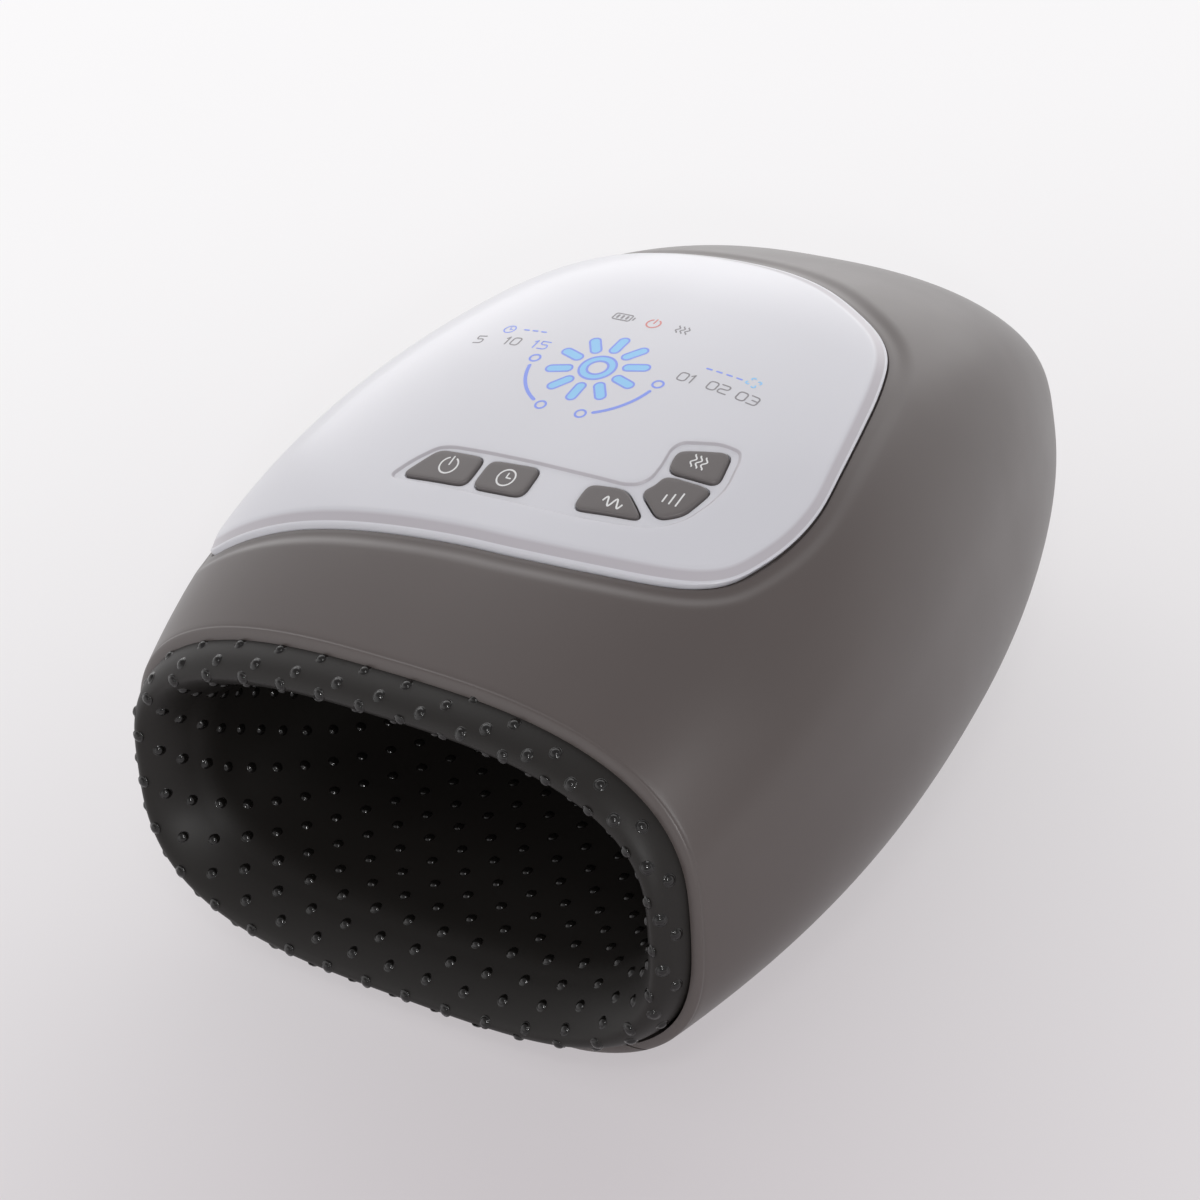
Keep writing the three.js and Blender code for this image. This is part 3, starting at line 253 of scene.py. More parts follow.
def case_points(station, angle, inset=0.0):
    """Points of the case at stations and angles around the section, sunk by an inset."""
    station, angle, inset = (a.astype(float) for a in np.broadcast_arrays(station, angle, inset))
    share = station / CASE_LENGTH
    closing = np.clip((station / (CASE_LENGTH - inset) - CLOSING_SHARE) / (1 - CLOSING_SHARE), 0, 1)
    plan = (1 - closing**PLAN_POWER) ** (1 / PLAN_POWER)
    side = (1 - closing**SIDE_POWER) ** (1 / SIDE_POWER)
    height = blend_stations(HEIGHTS, share)
    centre = CENTRE_SHARE * height
    across, up = np.cos(angle), np.sin(angle)
    top_power = FRONT_TOP_POWER + (REAR_TOP_POWER - FRONT_TOP_POWER) * share
    power = np.where(up >= 0, top_power, BOTTOM_POWER)
    reach = (np.abs(across) ** power + np.abs(up) ** power) ** (1 / power)
    half = np.where(up >= 0, height - centre, centre)
    x = (half_width(station) - inset) * plan * across / reach
    z = centre + (half - inset) * side * up / reach
    y = station + lean(station, z) + MOUTH_Y
    return np.stack([x, y, z], -1)


def top_points(girth, station, inset=0.0):
    """Points on top of the case, by the distance around the section from the crown."""
    return case_points(station, math.pi / 2 - girth / half_width(station), inset)


def eased_floor(z, floor, turn):
    """Heights kept above a floor, with a soft turn."""
    over = z - floor
    return floor + (over + np.sqrt(over**2 + turn**2)) / 2


def flat_base(points, floor):
    """The case is cut flat at the base, with a slightly rounded edge."""
    points = points.copy()
    points[..., 2] = eased_floor(points[..., 2], floor, BASE_TURN)
    return points


def smoothstep(share):
    share = np.clip(share, 0, 1)
    return share * share * (3 - 2 * share)


# Loops and paths in the plane of girth and station
def ways_along(path):
    """The way from a path's first point to each of its points."""
    return np.concatenate([[0], np.cumsum(np.linalg.norm(np.diff(path, axis=0), axis=1))])


def respaced(path, count, closed):
    """A path with evenly spaced points. A closed path ends where it starts, but the result doesn't repeat that."""
    ways = ways_along(path)
    wanted = np.linspace(0, ways[-1], count, endpoint=not closed)
    return np.stack([np.interp(wanted, ways, path[:, k]) for k in (0, 1)], -1)


def relaxed(loop, passes):
    """The loop with its tight bends eased."""
    for _ in range(passes):
        loop = (np.roll(loop, 1, 0) + 2 * loop + np.roll(loop, -1, 0)) / 4
    return loop


def smooth_loop(corners, count, passes):
    """A closed Catmull-Rom curve through the corners, evenly spaced and slightly relaxed."""
    p = np.array(corners, float)
    before, after, later = np.roll(p, 1, 0), np.roll(p, -1, 0), np.roll(p, -2, 0)
    sides = ((before, p), (p, after), (after, later))
    d0, d1, d2 = (np.linalg.norm(b - a, axis=1)[:, None] ** 0.5 for a, b in sides)
    start = ((p - before) / d0 - (after - before) / (d0 + d1) + (after - p) / d1) * d1
    end = ((after - p) / d1 - (later - p) / (d1 + d2) + (later - after) / d2) * d1
    t = np.linspace(0, 1, CURVE_STEPS, endpoint=False)[None, :, None]
    a, b = 2 * p - 2 * after + start + end, -3 * p + 3 * after - 2 * start - end
    dense = (a[:, None] * t**3 + b[:, None] * t**2 + start[:, None] * t + p[:, None]).reshape(-1, 2)
    return relaxed(respaced(np.vstack([dense, dense[:1]]), count, True), passes)


def rounded_corners(corners, radius, side_part, steps, closed=True):
    """A path through corners that are rounded off, at the most over a side divided by the side part."""
    corners = np.array(corners, float)
    path = []
    for i, here in enumerate(corners):
        if not closed and i in (0, len(corners) - 1):
            path.append(here)
            continue
        sides = corners[i - 1] - here, corners[(i + 1) % len(corners)] - here
        lengths = [np.linalg.norm(side) for side in sides]
        reach = min(radius, lengths[0] / side_part, lengths[1] / side_part)
        first, last = (here + side * reach / length for side, length in zip(sides, lengths))
        path += [(1 - t) ** 2 * first + 2 * t * (1 - t) * here + t**2 * last for t in np.linspace(0, 1, steps)]
    return np.array(path + path[:1] if closed else path)


def rounded_loop(corners, radius):
    """A closed polygon with its corners rounded off, in fine steps."""
    path = rounded_corners(corners, radius, CORNER_SIDE_PART, CORNER_STEPS)
    return respaced(path, int(ways_along(path)[-1] / FINE_STEP), True)


def grown(loop, growth):
    """The loop moved outwards by a growth."""
    along = np.roll(loop, -1, 0) - np.roll(loop, 1, 0)
    along /= np.linalg.norm(along, axis=1)[:, None]
    ahead = np.roll(loop, -1, 0)
    turn = 1 if (loop[:, 0] * ahead[:, 1] - ahead[:, 0] * loop[:, 1]).sum() > 0 else -1
    return loop + turn * growth * np.stack([along[:, 1], -along[:, 0]], -1)


def inside(points, loop):
    """Which points lie inside a closed loop."""
    result = np.zeros(len(points), bool)
    ahead = np.roll(loop, -1, 0)
    x, y = points[:, 0], points[:, 1]
    for (ax, ay), (bx, by) in zip(loop, ahead):
        if ay != by:
            crosses = (ay > y) != (by > y)
            result ^= crosses & (x < (bx - ax) * (y - ay) / (by - ay) + ax)
    return result


def distance(points, loop):
    """Distance from each point to the nearest point of a dense loop."""
    nearest = np.full(len(points), np.inf)
    for start in range(0, len(loop), LOOP_CHUNK):
        part = loop[start : start + LOOP_CHUNK]
        nearest = np.minimum(nearest, np.sqrt(((points[:, None] - part[None]) ** 2).sum(-1)).min(1))
    return nearest


def grid_points(low, high, step):
    xs = np.arange(low[0], high[0], step)
    ys = np.arange(low[1], high[1], step)
    return np.stack(np.meshgrid(xs, ys), -1).reshape(-1, 2)


def spaced_from(points, loops, room):
    """The points that keep some room to every loop."""
    for loop in loops:
        points = points[distance(points, loop) > room]
    return points


def per_point(loops, values, rest):
    """The value of each loop for each of its points, and then the values of the loose points."""
    return np.concatenate([np.full(len(loop), value, float) for loop, value in zip(loops, values)] + [rest])


def triangles(loops, loose, holes=(), border=None):
    """Triangles over a plane region that follow every loop. Loops come first in the points."""
    points = np.vstack([*loops, loose])
    edges, first = [], 0
    for loop in loops:
        count = len(loop)
        edges += [(first + i, first + (i + 1) % count) for i in range(count)]
        first += count
    found = geometry.delaunay_2d_cdt([Vector(p) for p in points], edges, [], 0, PLANE_TOLERANCE)
    faces = np.array(found[2])
    source = np.array([ids[0] for ids in found[3]])
    faces = source[faces]
    middles = points[faces].mean(1)
    keep = inside(middles, border) if border is not None else np.ones(len(faces), bool)
    for hole in holes:
        keep &= ~inside(middles, hole)
    return points, faces[keep]


def put(name, data):
    """A new object of the scene."""
    holder = bpy.data.objects.new(name, data)
    bpy.context.scene.collection.objects.link(holder)
    return holder


def plain_mesh(holder):
    """The mesh of an object with its modifiers worked into it, in place of the object."""
    result = bpy.data.meshes.new_from_object(holder.evaluated_get(bpy.context.evaluated_depsgraph_get()))
    bpy.data.objects.remove(holder)
    return result


def closed_mesh(bm, name):
    """The mesh of a BMesh, with its faces turned outwards."""
    bmesh.ops.recalc_face_normals(bm, faces=bm.faces)
    mesh = bpy.data.meshes.new(name)
    bm.to_mesh(mesh)
    bm.free()
    return mesh


class Shape:
    """Points in millimetres and faces, joined into one mesh at the end."""

    def __init__(self):
        self.points, self.faces, self.greyed, self.count = [], [], [], 0

    def add(self, points, faces, greyed=0.0):
        points = np.asarray(points, float).reshape(-1, 3)
        self.faces.extend(tuple(int(i) + self.count for i in face) for face in faces)
        self.points.append(points)
        self.greyed.append(np.broadcast_to(greyed, len(points)))
        self.count += len(points)

    def strip(self, rings, around=True, greyed=0.0):
        """Quads between neighbouring rings of equal length, with a share of painted shade for each ring."""
        rings = np.asarray(rings, float)
        rows, columns = rings.shape[:2]
        faces = [
            (r * columns + i, r * columns + (i + 1) % columns,
             (r + 1) * columns + (i + 1) % columns, (r + 1) * columns + i)
            for r in range(rows - 1) for i in range(columns if around else columns - 1)
        ]
        self.add(rings, faces, np.repeat(np.broadcast_to(greyed, rows), columns))

    def cap(self, ring):
        """A fan over a closed ring."""
        count = len(ring)
        self.add(np.vstack([ring, np.mean(ring, axis=0)]), [(i, (i + 1) % count, count) for i in range(count)])

    def body(self, rings):
        """A closed body, with a cap on its first and its last ring."""
        self.strip(rings)
        self.cap(rings[0])
        self.cap(rings[-1])
        return self

    def mesh(self, name):
        bm = bmesh.new()
        # Each point's share of painted shade goes into a layer that the panel's finish reads
        greyed = np.concatenate(self.greyed)
        share = bm.verts.layers.float.new("greyed") if greyed.any() else None
        verts = [bm.verts.new(p) for p in np.vstack(self.points) * MM]
        if share:
            for vert, value in zip(verts, greyed):
                vert[share] = value
        for face in self.faces:
            if len(set(face)) == len(face):
                try:
                    bm.faces.new([verts[i] for i in face])
                except ValueError:
                    pass  # two loops share this face
        bmesh.ops.remove_doubles(bm, verts=bm.verts, dist=WELD * MM)
        return closed_mesh(bm, name)


def turned_rings(profile, sides, x=0.0, y=0.0):
    """The rings of a body turned about an upright axis, from radii and heights."""
    angles = 2 * math.pi * np.arange(sides) / sides
    return [np.stack([x + r * np.cos(angles), y + r * np.sin(angles), np.full(sides, z)], -1) for r, z in profile]


# Node trees and finishes
class Maths:
    """A socket, so that shader sums are written as sums."""

    def __init__(self, nodes, socket):
        self.nodes, self.socket = nodes, socket

    def __add__(self, other):
        return self.nodes.node("ShaderNodeMath", {"operation": "ADD"}, {0: self, 1: other})

    def __mul__(self, other):
        return self.nodes.node("ShaderNodeMath", {"operation": "MULTIPLY"}, {0: self, 1: other})

    __radd__, __rmul__ = __add__, __mul__


class Nodes:
    """The nodes of one tree, which starts empty."""

    def __init__(self, tree):
        self.tree = tree
        tree.nodes.clear()

    def node(self, kind, settings, inputs, output=0):
        """Adds a node with its settings and its sockets' values or links, and gives one of its outputs."""
        node = self.tree.nodes.new(kind)
        for key, value in settings.items():
            setattr(node, key, value)
        for key, value in inputs.items():
            if isinstance(value, Maths):
                self.tree.links.new(value.socket, node.inputs[key])
            else:
                node.inputs[key].default_value = value
        return Maths(self, node.outputs[output]) if node.outputs else None

    def blend(self, factor, first, second):
        """A colour between two."""
        return self.node("ShaderNodeMix", {"data_type": "RGBA"}, {0: factor, 6: first, 7: second}, 2)


class Finish(Nodes):
    """The nodes of a material."""

    def __init__(self, name):
        self.material = bpy.data.materials.new(name)
        self.material.use_nodes = True
        super().__init__(self.material.node_tree)
        self.place = self.node("ShaderNodeTexCoord", {}, {}, "Object")

    def noise(self, size, detail=2.0, roughness=0.5):
        """Noise whose grains measure about size, in millimetres."""
        inputs = {"Vector": self.place, "Scale": 1 / (size * MM), "Detail": detail, "Roughness": roughness}
        return self.node("ShaderNodeTexNoise", {}, inputs)

    def bump(self, height, strength, depth):
        """Relief of a depth in millimetres."""
        return self.node("ShaderNodeBump", {}, {"Height": height, "Strength": strength, "Distance": depth * MM})

    def moulded(self, color, shade, grain, relief):
        """Colour and relief of a moulded surface with a fine grain and slight clouds, and the clouds."""
        cloud, speck = self.noise(CLOUD_SIZE), self.noise(grain, FINE_DETAIL, SPECK_ROUGHNESS)
        color = self.blend(cloud * CLOUD_SHARE + speck * (1 - CLOUD_SHARE), rgb(*color), rgb(*shade))
        return color, self.bump(speck, GRAIN_STRENGTH, relief), cloud

    def done(self, surface):
        """The material with a shader on its surface."""
        self.node("ShaderNodeOutputMaterial", {}, {"Surface": surface})
        return self.material

    def look(self, **sockets):
        """The material with a Principled BSDF on its surface."""
        named = {name.replace("_", " "): value for name, value in sockets.items()}
        return self.done(self.node("ShaderNodeBsdfPrincipled", {}, named))


def rgb(red, green, blue):
    """A colour given as it looks on screen, 0 to 255."""
    linear = [(v / 255 / 12.92) if v <= 10 else ((v / 255 + 0.055) / 1.055) ** 2.4 for v in (red, green, blue)]
    return (*linear, 1)


CLOUD_SIZE = 38
CLOUD_SHARE = 0.7
FINE_DETAIL = 3
SPECK_ROUGHNESS = 0.6
GRAIN_STRENGTH = 0.25
TRACKS_PER_METRE = 160.0
WEAVES_PER_METRE = 1600.0
SMEAR_SIZE = 22
SMEAR_SWING = 0.12
METAL = {"Metallic": 1.0}
# By material slot or by what is printed: name, colour, shade and roughness, and where they differ from the usual
# ones grain, relief and the shader's other sockets
MOULDED_LOOKS = {
    "case_taupe": ("case_taupe_plastic", (90, 82, 80), (82, 75, 73), 0.42, 0.45, 0.03,
                   {"Coat_Weight": 0.32, "Coat_Roughness": 0.34}),
    "key_grey": ("key_grey_plastic", (110, 105, 105), (104, 100, 99), 0.4, 0.3),
    "sleeve_silicone": ("sleeve_black_silicone", (35, 32, 30), (28, 26, 24), 0.5, 0.5, 0.03,
                        {"Specular_IOR_Level": 0.35}),
    # The bumps are of the sleeve's silicone but painted darker: painted shade on the nubs
    "bumps": ("bump_black_silicone", (22, 20, 19), (17, 16, 15), 0.16, 0.5, 0.01, {"Specular_IOR_Level": 0.55}),
    "foot_rubber": ("foot_black_rubber", (38, 38, 38), (28, 28, 28), 0.75, 0.4, 0.05),
    "black_plastic": ("inner_black_plastic", (36, 36, 38), (30, 30, 32), 0.5),
    "inner_white": ("inner_white_plastic", (205, 205, 200), (196, 196, 190), 0.55),
    "diffuser": ("milky_diffuser", (236, 239, 242), (228, 231, 236), 0.4),
    "clear_hose": ("milky_hose", (212, 216, 210), (200, 206, 198), 0.38),
    "red_lead": ("red_lead_jacket", (162, 42, 34), (140, 34, 28), 0.5),
    "heater_film": ("amber_heater_film", (190, 132, 48), (170, 110, 36), 0.35),
    "cell_wrap": ("blue_cell_wrap", (63, 111, 156), (52, 96, 140), 0.3),
    "brass_core": ("turned_brass", (190, 160, 96), (170, 140, 80), 0.3, 0.35, 0.02, METAL),
    "bright_steel": ("zinc_plated_steel", (176, 178, 180), (150, 152, 155), 0.32, 0.35, 0.02, METAL),
    "white_print": ("white_print", (236, 236, 236), (228, 228, 228), 0.5),
    "grey_print": ("grey_print", (152, 150, 153), (145, 143, 147), 0.5),
    "red_print": ("lit_red_print", (226, 150, 146), (220, 140, 136), 0.5),
    "blue_print": ("lit_blue_print", (146, 166, 248), (138, 158, 246), 0.45),
    "cyan_print": ("lit_cyan_print", (156, 212, 252), (148, 206, 250), 0.45),
}


def moulded_finish(name, color, shade, roughness, grain=0.35, relief=0.02, others={}):
    """Plastic, rubber or metal whose gloss is a little smeared."""
    finish = Finish(name)
    color, normal, _ = finish.moulded(color, shade, grain, relief)
    rough = finish.noise(SMEAR_SIZE, FINE_DETAIL) * SMEAR_SWING + (roughness - SMEAR_SWING / 2)
    return finish.look(Base_Color=color, Roughness=rough, Normal=normal, **others)


def panel_finish():
    """Glossy pearl plastic, with painted shade where its bevel and the rim of its island turn down."""
    finish = Finish("panel_pearl_plastic")
    color, normal, cloud = finish.moulded((218, 218, 224), (214, 214, 220), 0.25, 0.004)
    # Painted shade: the bevel and the island's rim are blended towards a darker grey by each point's share
    greyed = finish.node("ShaderNodeAttribute", {"attribute_name": "greyed"}, {}, "Fac")
    color = finish.blend(greyed, color, rgb(192, 188, 194))
    return finish.look(Base_Color=color, Roughness=cloud * 0.05 + 0.28, Normal=normal,
                       Coat_Weight=0.2, Coat_Roughness=0.15)


def board_finish():
    finish = Finish("green_circuit_board")
    tracks = finish.node("ShaderNodeTexBrick", {}, {"Vector": finish.place, "Scale": TRACKS_PER_METRE})
    color = finish.blend(tracks, rgb(24, 92, 52), rgb(18, 72, 42))
    return finish.look(Base_Color=color, Roughness=finish.noise(3) * 0.2 + 0.35)


def bag_finish():
    finish = Finish("coated_bag_cloth")
    weave = finish.node("ShaderNodeTexChecker", {}, {"Vector": finish.place, "Scale": WEAVES_PER_METRE}, 1)
    color = finish.blend(weave * 0.5, rgb(58, 66, 78), rgb(46, 54, 66))
    return finish.look(Base_Color=color, Roughness=finish.noise(9) * 0.2 + 0.5,
                       Normal=finish.bump(weave, 0.3, 0.05))


finishes = {key: moulded_finish(*look) for key, look in MOULDED_LOOKS.items()}
finishes.update(panel_pearl=panel_finish(), circuit_board=board_finish(), bag_film=bag_finish())

# Every solid keeps its own finish, also where a finer piece stands for it
for part in frame["record"]["subparts"]:
    for holder in frame["nodes"][part["node"]].material_slots:
        holder.material = finishes[part["material_slot"]]


def finish_piece(name, mesh, slot, nodes=(), body="case", sharp=35, look=None):
    """Puts a mesh in the scene as a piece that rides on a body and stands for its nodes."""
    mesh.shade_smooth()
    mesh.set_sharp_from_angle(angle=math.radians(sharp))
    mesh.materials.clear()
    mesh.materials.append(finishes[look or slot])
    piece = put(name, mesh)
    if nodes:
        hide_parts(*nodes)
    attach(piece, body)


# Camera of the photograph
CAMERA_PLACE = Vector((0.491687, -0.527477, 0.484445))
CAMERA_RIGHT = Vector((0.77516, 0.60636, -0.17735))
CAMERA_FORWARD = Vector((-0.59735, 0.61207, -0.51821))
CAMERA_FOCUS_PIXELS = 3580.27
PHOTO_PIXELS = 1200


def make_camera():
    forward = CAMERA_FORWARD.normalized()
    right = (CAMERA_RIGHT - CAMERA_RIGHT.dot(forward) * forward).normalized()
    turn = Matrix((right, right.cross(forward), -forward)).transposed().to_4x4()
    lens = bpy.data.cameras.new("photo_camera")
    lens.sensor_width = 36
    lens.lens = CAMERA_FOCUS_PIXELS / PHOTO_PIXELS * lens.sensor_width
    lens.clip_start, lens.clip_end = 0.01, 100
    camera = put("photo_camera", lens)
    camera.matrix_world = Matrix.Translation(CAMERA_PLACE) @ turn
    bpy.context.scene.camera = camera


make_camera()


# Case
panel_corners = [(PANEL_HALF_SPAN * a, PANEL_START + PANEL_LENGTH * b) for a, b in PANEL_OUTLINE_SHARES]
panel_loop = smooth_loop(panel_corners, LOOP_POINTS, LOOP_PASSES)
CASE_ANGLES = -math.pi / 2 + 2 * math.pi * np.arange(CASE_COLUMNS + 1) / CASE_COLUMNS
GIRTH_SCALE = 90  # the plane in which the skin is divided is as wide as the case at its widest
BACK_STATION = 166
RIM_ROOM = 0.9


def case_skin(shape, rim, row_step, tail_inset):
    """The skin of the case from the lip to the tail, with loops at offsets from the panel's outline."""
    scaled = [grown(panel_loop, offset) for offset, _ in rim]
    planes = [np.stack([loop[:, 0] / half_width(loop[:, 1]) * GIRTH_SCALE, loop[:, 1]], -1) for loop in scaled]
    rows = np.linspace(LIP_DEPTH, BACK_STATION, round((BACK_STATION - LIP_DEPTH) / row_step) + 1)
    loose = np.stack(np.meshgrid((math.pi / 2 - CASE_ANGLES) * GIRTH_SCALE, rows), -1).reshape(-1, 2)
    edge = np.isin(loose[:, 1], rows[[0, -1]])
    loose = loose[edge | ~inside(loose, grown(planes[-1], RIM_ROOM))]
    points, faces = triangles(planes, loose, holes=[planes[0]])
    insets = per_point(planes, [inset for _, inset in rim], np.full(len(loose), tail_inset))
    placed = case_points(points[:, 1], math.pi / 2 - points[:, 0] / GIRTH_SCALE, insets)
    placed = flat_base(placed, BASE_CUT + np.minimum(insets, tail_inset))
    shape.add(placed, faces)
    return placed[:len(planes[0])]


def tail_rings(shape, inset, rows):
    """The rounded tail, from the last station of the skin to the pole."""
    end = CASE_LENGTH - inset
    turns = np.sin(np.linspace(0, math.pi / 2, rows + 1))
    stations = BACK_STATION + (end - BACK_STATION) * turns
    rings = case_points(stations[:, None], CASE_ANGLES[None, :], inset)
    rings[-1] = case_points(end, 0.0, inset) * (0, 1, 1)
    shape.strip(flat_base(rings, BASE_CUT + inset), around=False)


def lip_rings(shape):
    """The rounded lip of the mouth, from the outer skin to the inner wall."""
    turns = np.linspace(0, math.pi / 2, LIP_STEPS)
    bow = [(LIP_FRONT + LIP_ROUND * (1 - math.sin(turn)), LIP_WALL * (1 - math.cos(turn))) for turn in turns]
    rings = [flat_base(case_points(station, CASE_ANGLES, inset), BASE_CUT + inset)
             for station, inset in ((LIP_DEPTH, 0.0), *LIP_BEAD, *bow, (LIP_DEPTH, CASE_WALL))]
    shape.strip(rings, around=False)


SEAT_RIM = (
    (-PANEL_LEDGE, SEAT_INSET), (-PANEL_LEDGE / 2, SEAT_INSET), (SEAT_GAP, SEAT_INSET), (SEAT_GAP + 0.05, 1.15),
    (0.72, 0.88), (1.0, BAND_DEPTH), (2.0, BAND_DEPTH), (2.8, BAND_DEPTH - 0.03), (3.4, 0.68), (3.95, 0.53),
    (4.5, 0.36), (5.05, 0.2), (5.6, 0.09), (6.2, 0.02), (6.8, 0.0),
)
INNER_RIM = ((-PANEL_LEDGE, SEAT_INSET + LEDGE_THICKNESS), (4.6, SEAT_INSET + LEDGE_THICKNESS), (5.6, CASE_WALL))


def case_body_mesh():
    """The whole case as one closed shell with a window under the panel."""
    shape = Shape()
    outer_window = case_skin(shape, SEAT_RIM, CASE_ROW_STEP, 0.0)
    inner_window = case_skin(shape, INNER_RIM, INNER_ROW_STEP, CASE_WALL)
    shape.strip([outer_window, inner_window])
    lip_rings(shape)
    tail_rings(shape, 0.0, TAIL_ROWS)
    tail_rings(shape, CASE_WALL, INNER_TAIL_ROWS)
    return shape.mesh("case_body")


def level_cut(mesh, name, level, keep_above):
    """The part of a closed mesh above or below a level, closed again."""
    bm = bmesh.new()
    bm.from_mesh(mesh)
    everything = bm.verts[:] + bm.edges[:] + bm.faces[:]
    cut = bmesh.ops.bisect_plane(bm, geom=everything, dist=CUT_TOLERANCE, plane_co=(0, 0, level * MM),
                                 plane_no=(0, 0, 1), clear_inner=keep_above, clear_outer=not keep_above)
    rim = [e for e in cut["geom_cut"] if isinstance(e, bmesh.types.BMEdge)]
    bmesh.ops.triangle_fill(bm, use_beauty=True, edges=rim)
    return closed_mesh(bm, name)


def worked(mesh, tools, operation):
    """The mesh with closed tool meshes cut out of it or joined to it."""
    holder, other = put(mesh.name, mesh), put(tools.name, tools)
    step = holder.modifiers.new("work", "BOOLEAN")
    step.operation, step.object, step.solver = operation, other, "EXACT"
    result = plain_mesh(holder)
    bpy.data.objects.remove(other)
    return result


def box_middle(node):
    low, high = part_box(node)
    return [(a + b) / 2 / MM for a, b in zip(low, high)]


def wall_reach(y, z, inset):
    """Half width of the case at a place and height."""
    turns = np.linspace(-math.pi / 2, 0, 60)
    ring = case_points(y - MOUTH_Y - lean(y - MOUTH_Y, z), turns, inset)
    return np.interp(z, ring[:, 2], ring[:, 0])


def upright_rods(name, profile, places, room):
    """Closed upright rods of radii and heights, which may keep an inset from the outside of the case."""
    shape = Shape()
    for x, y in places:
        rings = turned_rings(profile, ROD_SIDES, x, y)
        for ring in rings if room else ():
            reach = wall_reach(y, ring[0, 2], room)
            ring[:, 0] = np.clip(ring[:, 0], -reach, reach)
        shape.body(rings)
    return shape.mesh(name)


def flat_rings(width, height, radius, steps):
    """Rings of a rounded rectangle that stands across the case at the inlet, each with its growth and place."""
    x, z = width / 2, height / 2
    outline = rounded_loop([(-x, -z), (x, -z), (x, z), (-x, z)], radius)
    rings = [(grown(outline, growth), y) for growth, y in steps]
    return [np.stack([ring[:, 0] + SOCKET_MIDDLE[0], np.full(len(ring), y), ring[:, 1] + SOCKET_MIDDLE[2]], -1)
            for ring, y in rings]


SCREW_NODES = ["case_screw_%d" % i for i in range(1, 7)]
FOOT_NODES = ["foot_%d" % i for i in range(1, 5)]
SOCKET_LOW, SOCKET_HIGH = ([v / MM for v in corner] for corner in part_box("charging_socket"))
SOCKET_MIDDLE = box_middle("charging_socket")
SOCKET_WIDTH, SOCKET_RISE = (SOCKET_HIGH[i] - SOCKET_LOW[i] for i in (0, 2))
SOCKET_FRONT, SOCKET_BACK = SOCKET_LOW[1], SOCKET_HIGH[1]
INLET_ROOM = 0.6
ROD_SIDES = 48
BOSS_PROFILE = ((4.8, 3.4), (4.8, 6.0), (4.8, 8.85))
WELL_PROFILE = ((3.6, 1.0), (3.6, 2.35), (3.3, 2.75), (3.3, 5.5), (1.7, 5.5), (1.7, 9.5))
RECESS_PROFILE = ((6.8, 1.0), (6.8, 3.5))
screw_spots = [box_middle(node)[:2] for node in SCREW_NODES]
foot_spots = [box_middle(node)[:2] for node in FOOT_NODES]

whole_case = case_body_mesh()
upper_case = level_cut(whole_case, "upper_case", SPLIT_HEIGHT + SPLIT_GAP / 2, True)
lower_case = level_cut(whole_case, "lower_case", SPLIT_HEIGHT - SPLIT_GAP / 2, False)
for name, profile, spots, room, operation in (
        ("bosses", BOSS_PROFILE, screw_spots, CASE_WALL / 2, "UNION"),
        ("wells", WELL_PROFILE, screw_spots, None, "DIFFERENCE"),
        ("recesses", RECESS_PROFILE, foot_spots, None, "DIFFERENCE")):
    lower_case = worked(lower_case, upright_rods(name, profile, spots, room), operation)
inlet = Shape().body(flat_rings(SOCKET_WIDTH + INLET_ROOM, SOCKET_RISE + INLET_ROOM, 1.6, (
    (0.0, SOCKET_BACK - 6.3), (0.0, SOCKET_BACK + 1.15), (1.2, SOCKET_BACK + 2.35))))
upper_case = worked(upper_case, inlet.mesh("inlet"), "DIFFERENCE")
finish_piece("case_top", upper_case, "case_taupe", ["upper_shell"])
finish_piece("case_base", lower_case, "case_taupe", ["lower_shell"])

# The charging inlet: a flat drawn shell, open to the back, with its tongue
socket = Shape().body(flat_rings(SOCKET_WIDTH, SOCKET_RISE, 1.4, (
    (-0.2, SOCKET_FRONT), (0.0, SOCKET_FRONT + 0.2), (0.0, SOCKET_BACK - 0.12), (-0.12, SOCKET_BACK),
    (-0.38, SOCKET_BACK), (-0.5, SOCKET_BACK - 0.12), (-0.5, SOCKET_FRONT + 2))))
socket.body(flat_rings(6.6, 0.7, 0.2, (
    (0.0, SOCKET_FRONT + 2.01), (0.0, SOCKET_BACK - 2.25), (-0.12, SOCKET_BACK - 2))))
finish_piece("charging_inlet", socket.mesh("charging_inlet"), "bright_steel", ["charging_socket"])


# Keypad frame: its plane leans with the case, and the keys travel along its normal
def pad_point(share):
    return (PAD_LEFT + share[0] * PAD_SPAN, PAD_FRONT + share[1] * PAD_DEPTH)


PAD_MIDDLE = top_points(*pad_point(PAD_MIDDLE_SHARES))
PAD_TURN = np.array(Matrix.Rotation(KEY_LEAN, 3, "X"))
PAD_NORMAL = PAD_TURN[:, 2]


def to_pad(points):
    """Points of the row's frame in the keypad's frame."""
    return (points - PAD_MIDDLE) @ PAD_TURN


def skin_over(flat, inset):
    """Where the case's skin at an inset lies over places of the keypad's plane, and their girths and stations."""
    plane = np.stack([flat[:, 0] + PAD_MIDDLE[0], flat[:, 1] + pad_point(PAD_MIDDLE_SHARES)[1]], -1)
    for _ in range(SKIN_PASSES):
        placed = top_points(plane[:, 0], plane[:, 1], inset)
        plane = plane + flat - to_pad(placed)[:, :2]
    return top_points(plane[:, 0], plane[:, 1], inset), plane


def pad_loop(loop):
    """A loop of girths and stations, in the keypad's plane."""
    return to_pad(top_points(loop[:, 0], loop[:, 1]))[:, :2]


key_loops = {
    name: relaxed(pad_loop(rounded_loop([pad_point(s) for s in shares], KEY_CORNER)), KEY_PASSES)
    for name, shares in KEY_CORNER_SHARES.items()
}
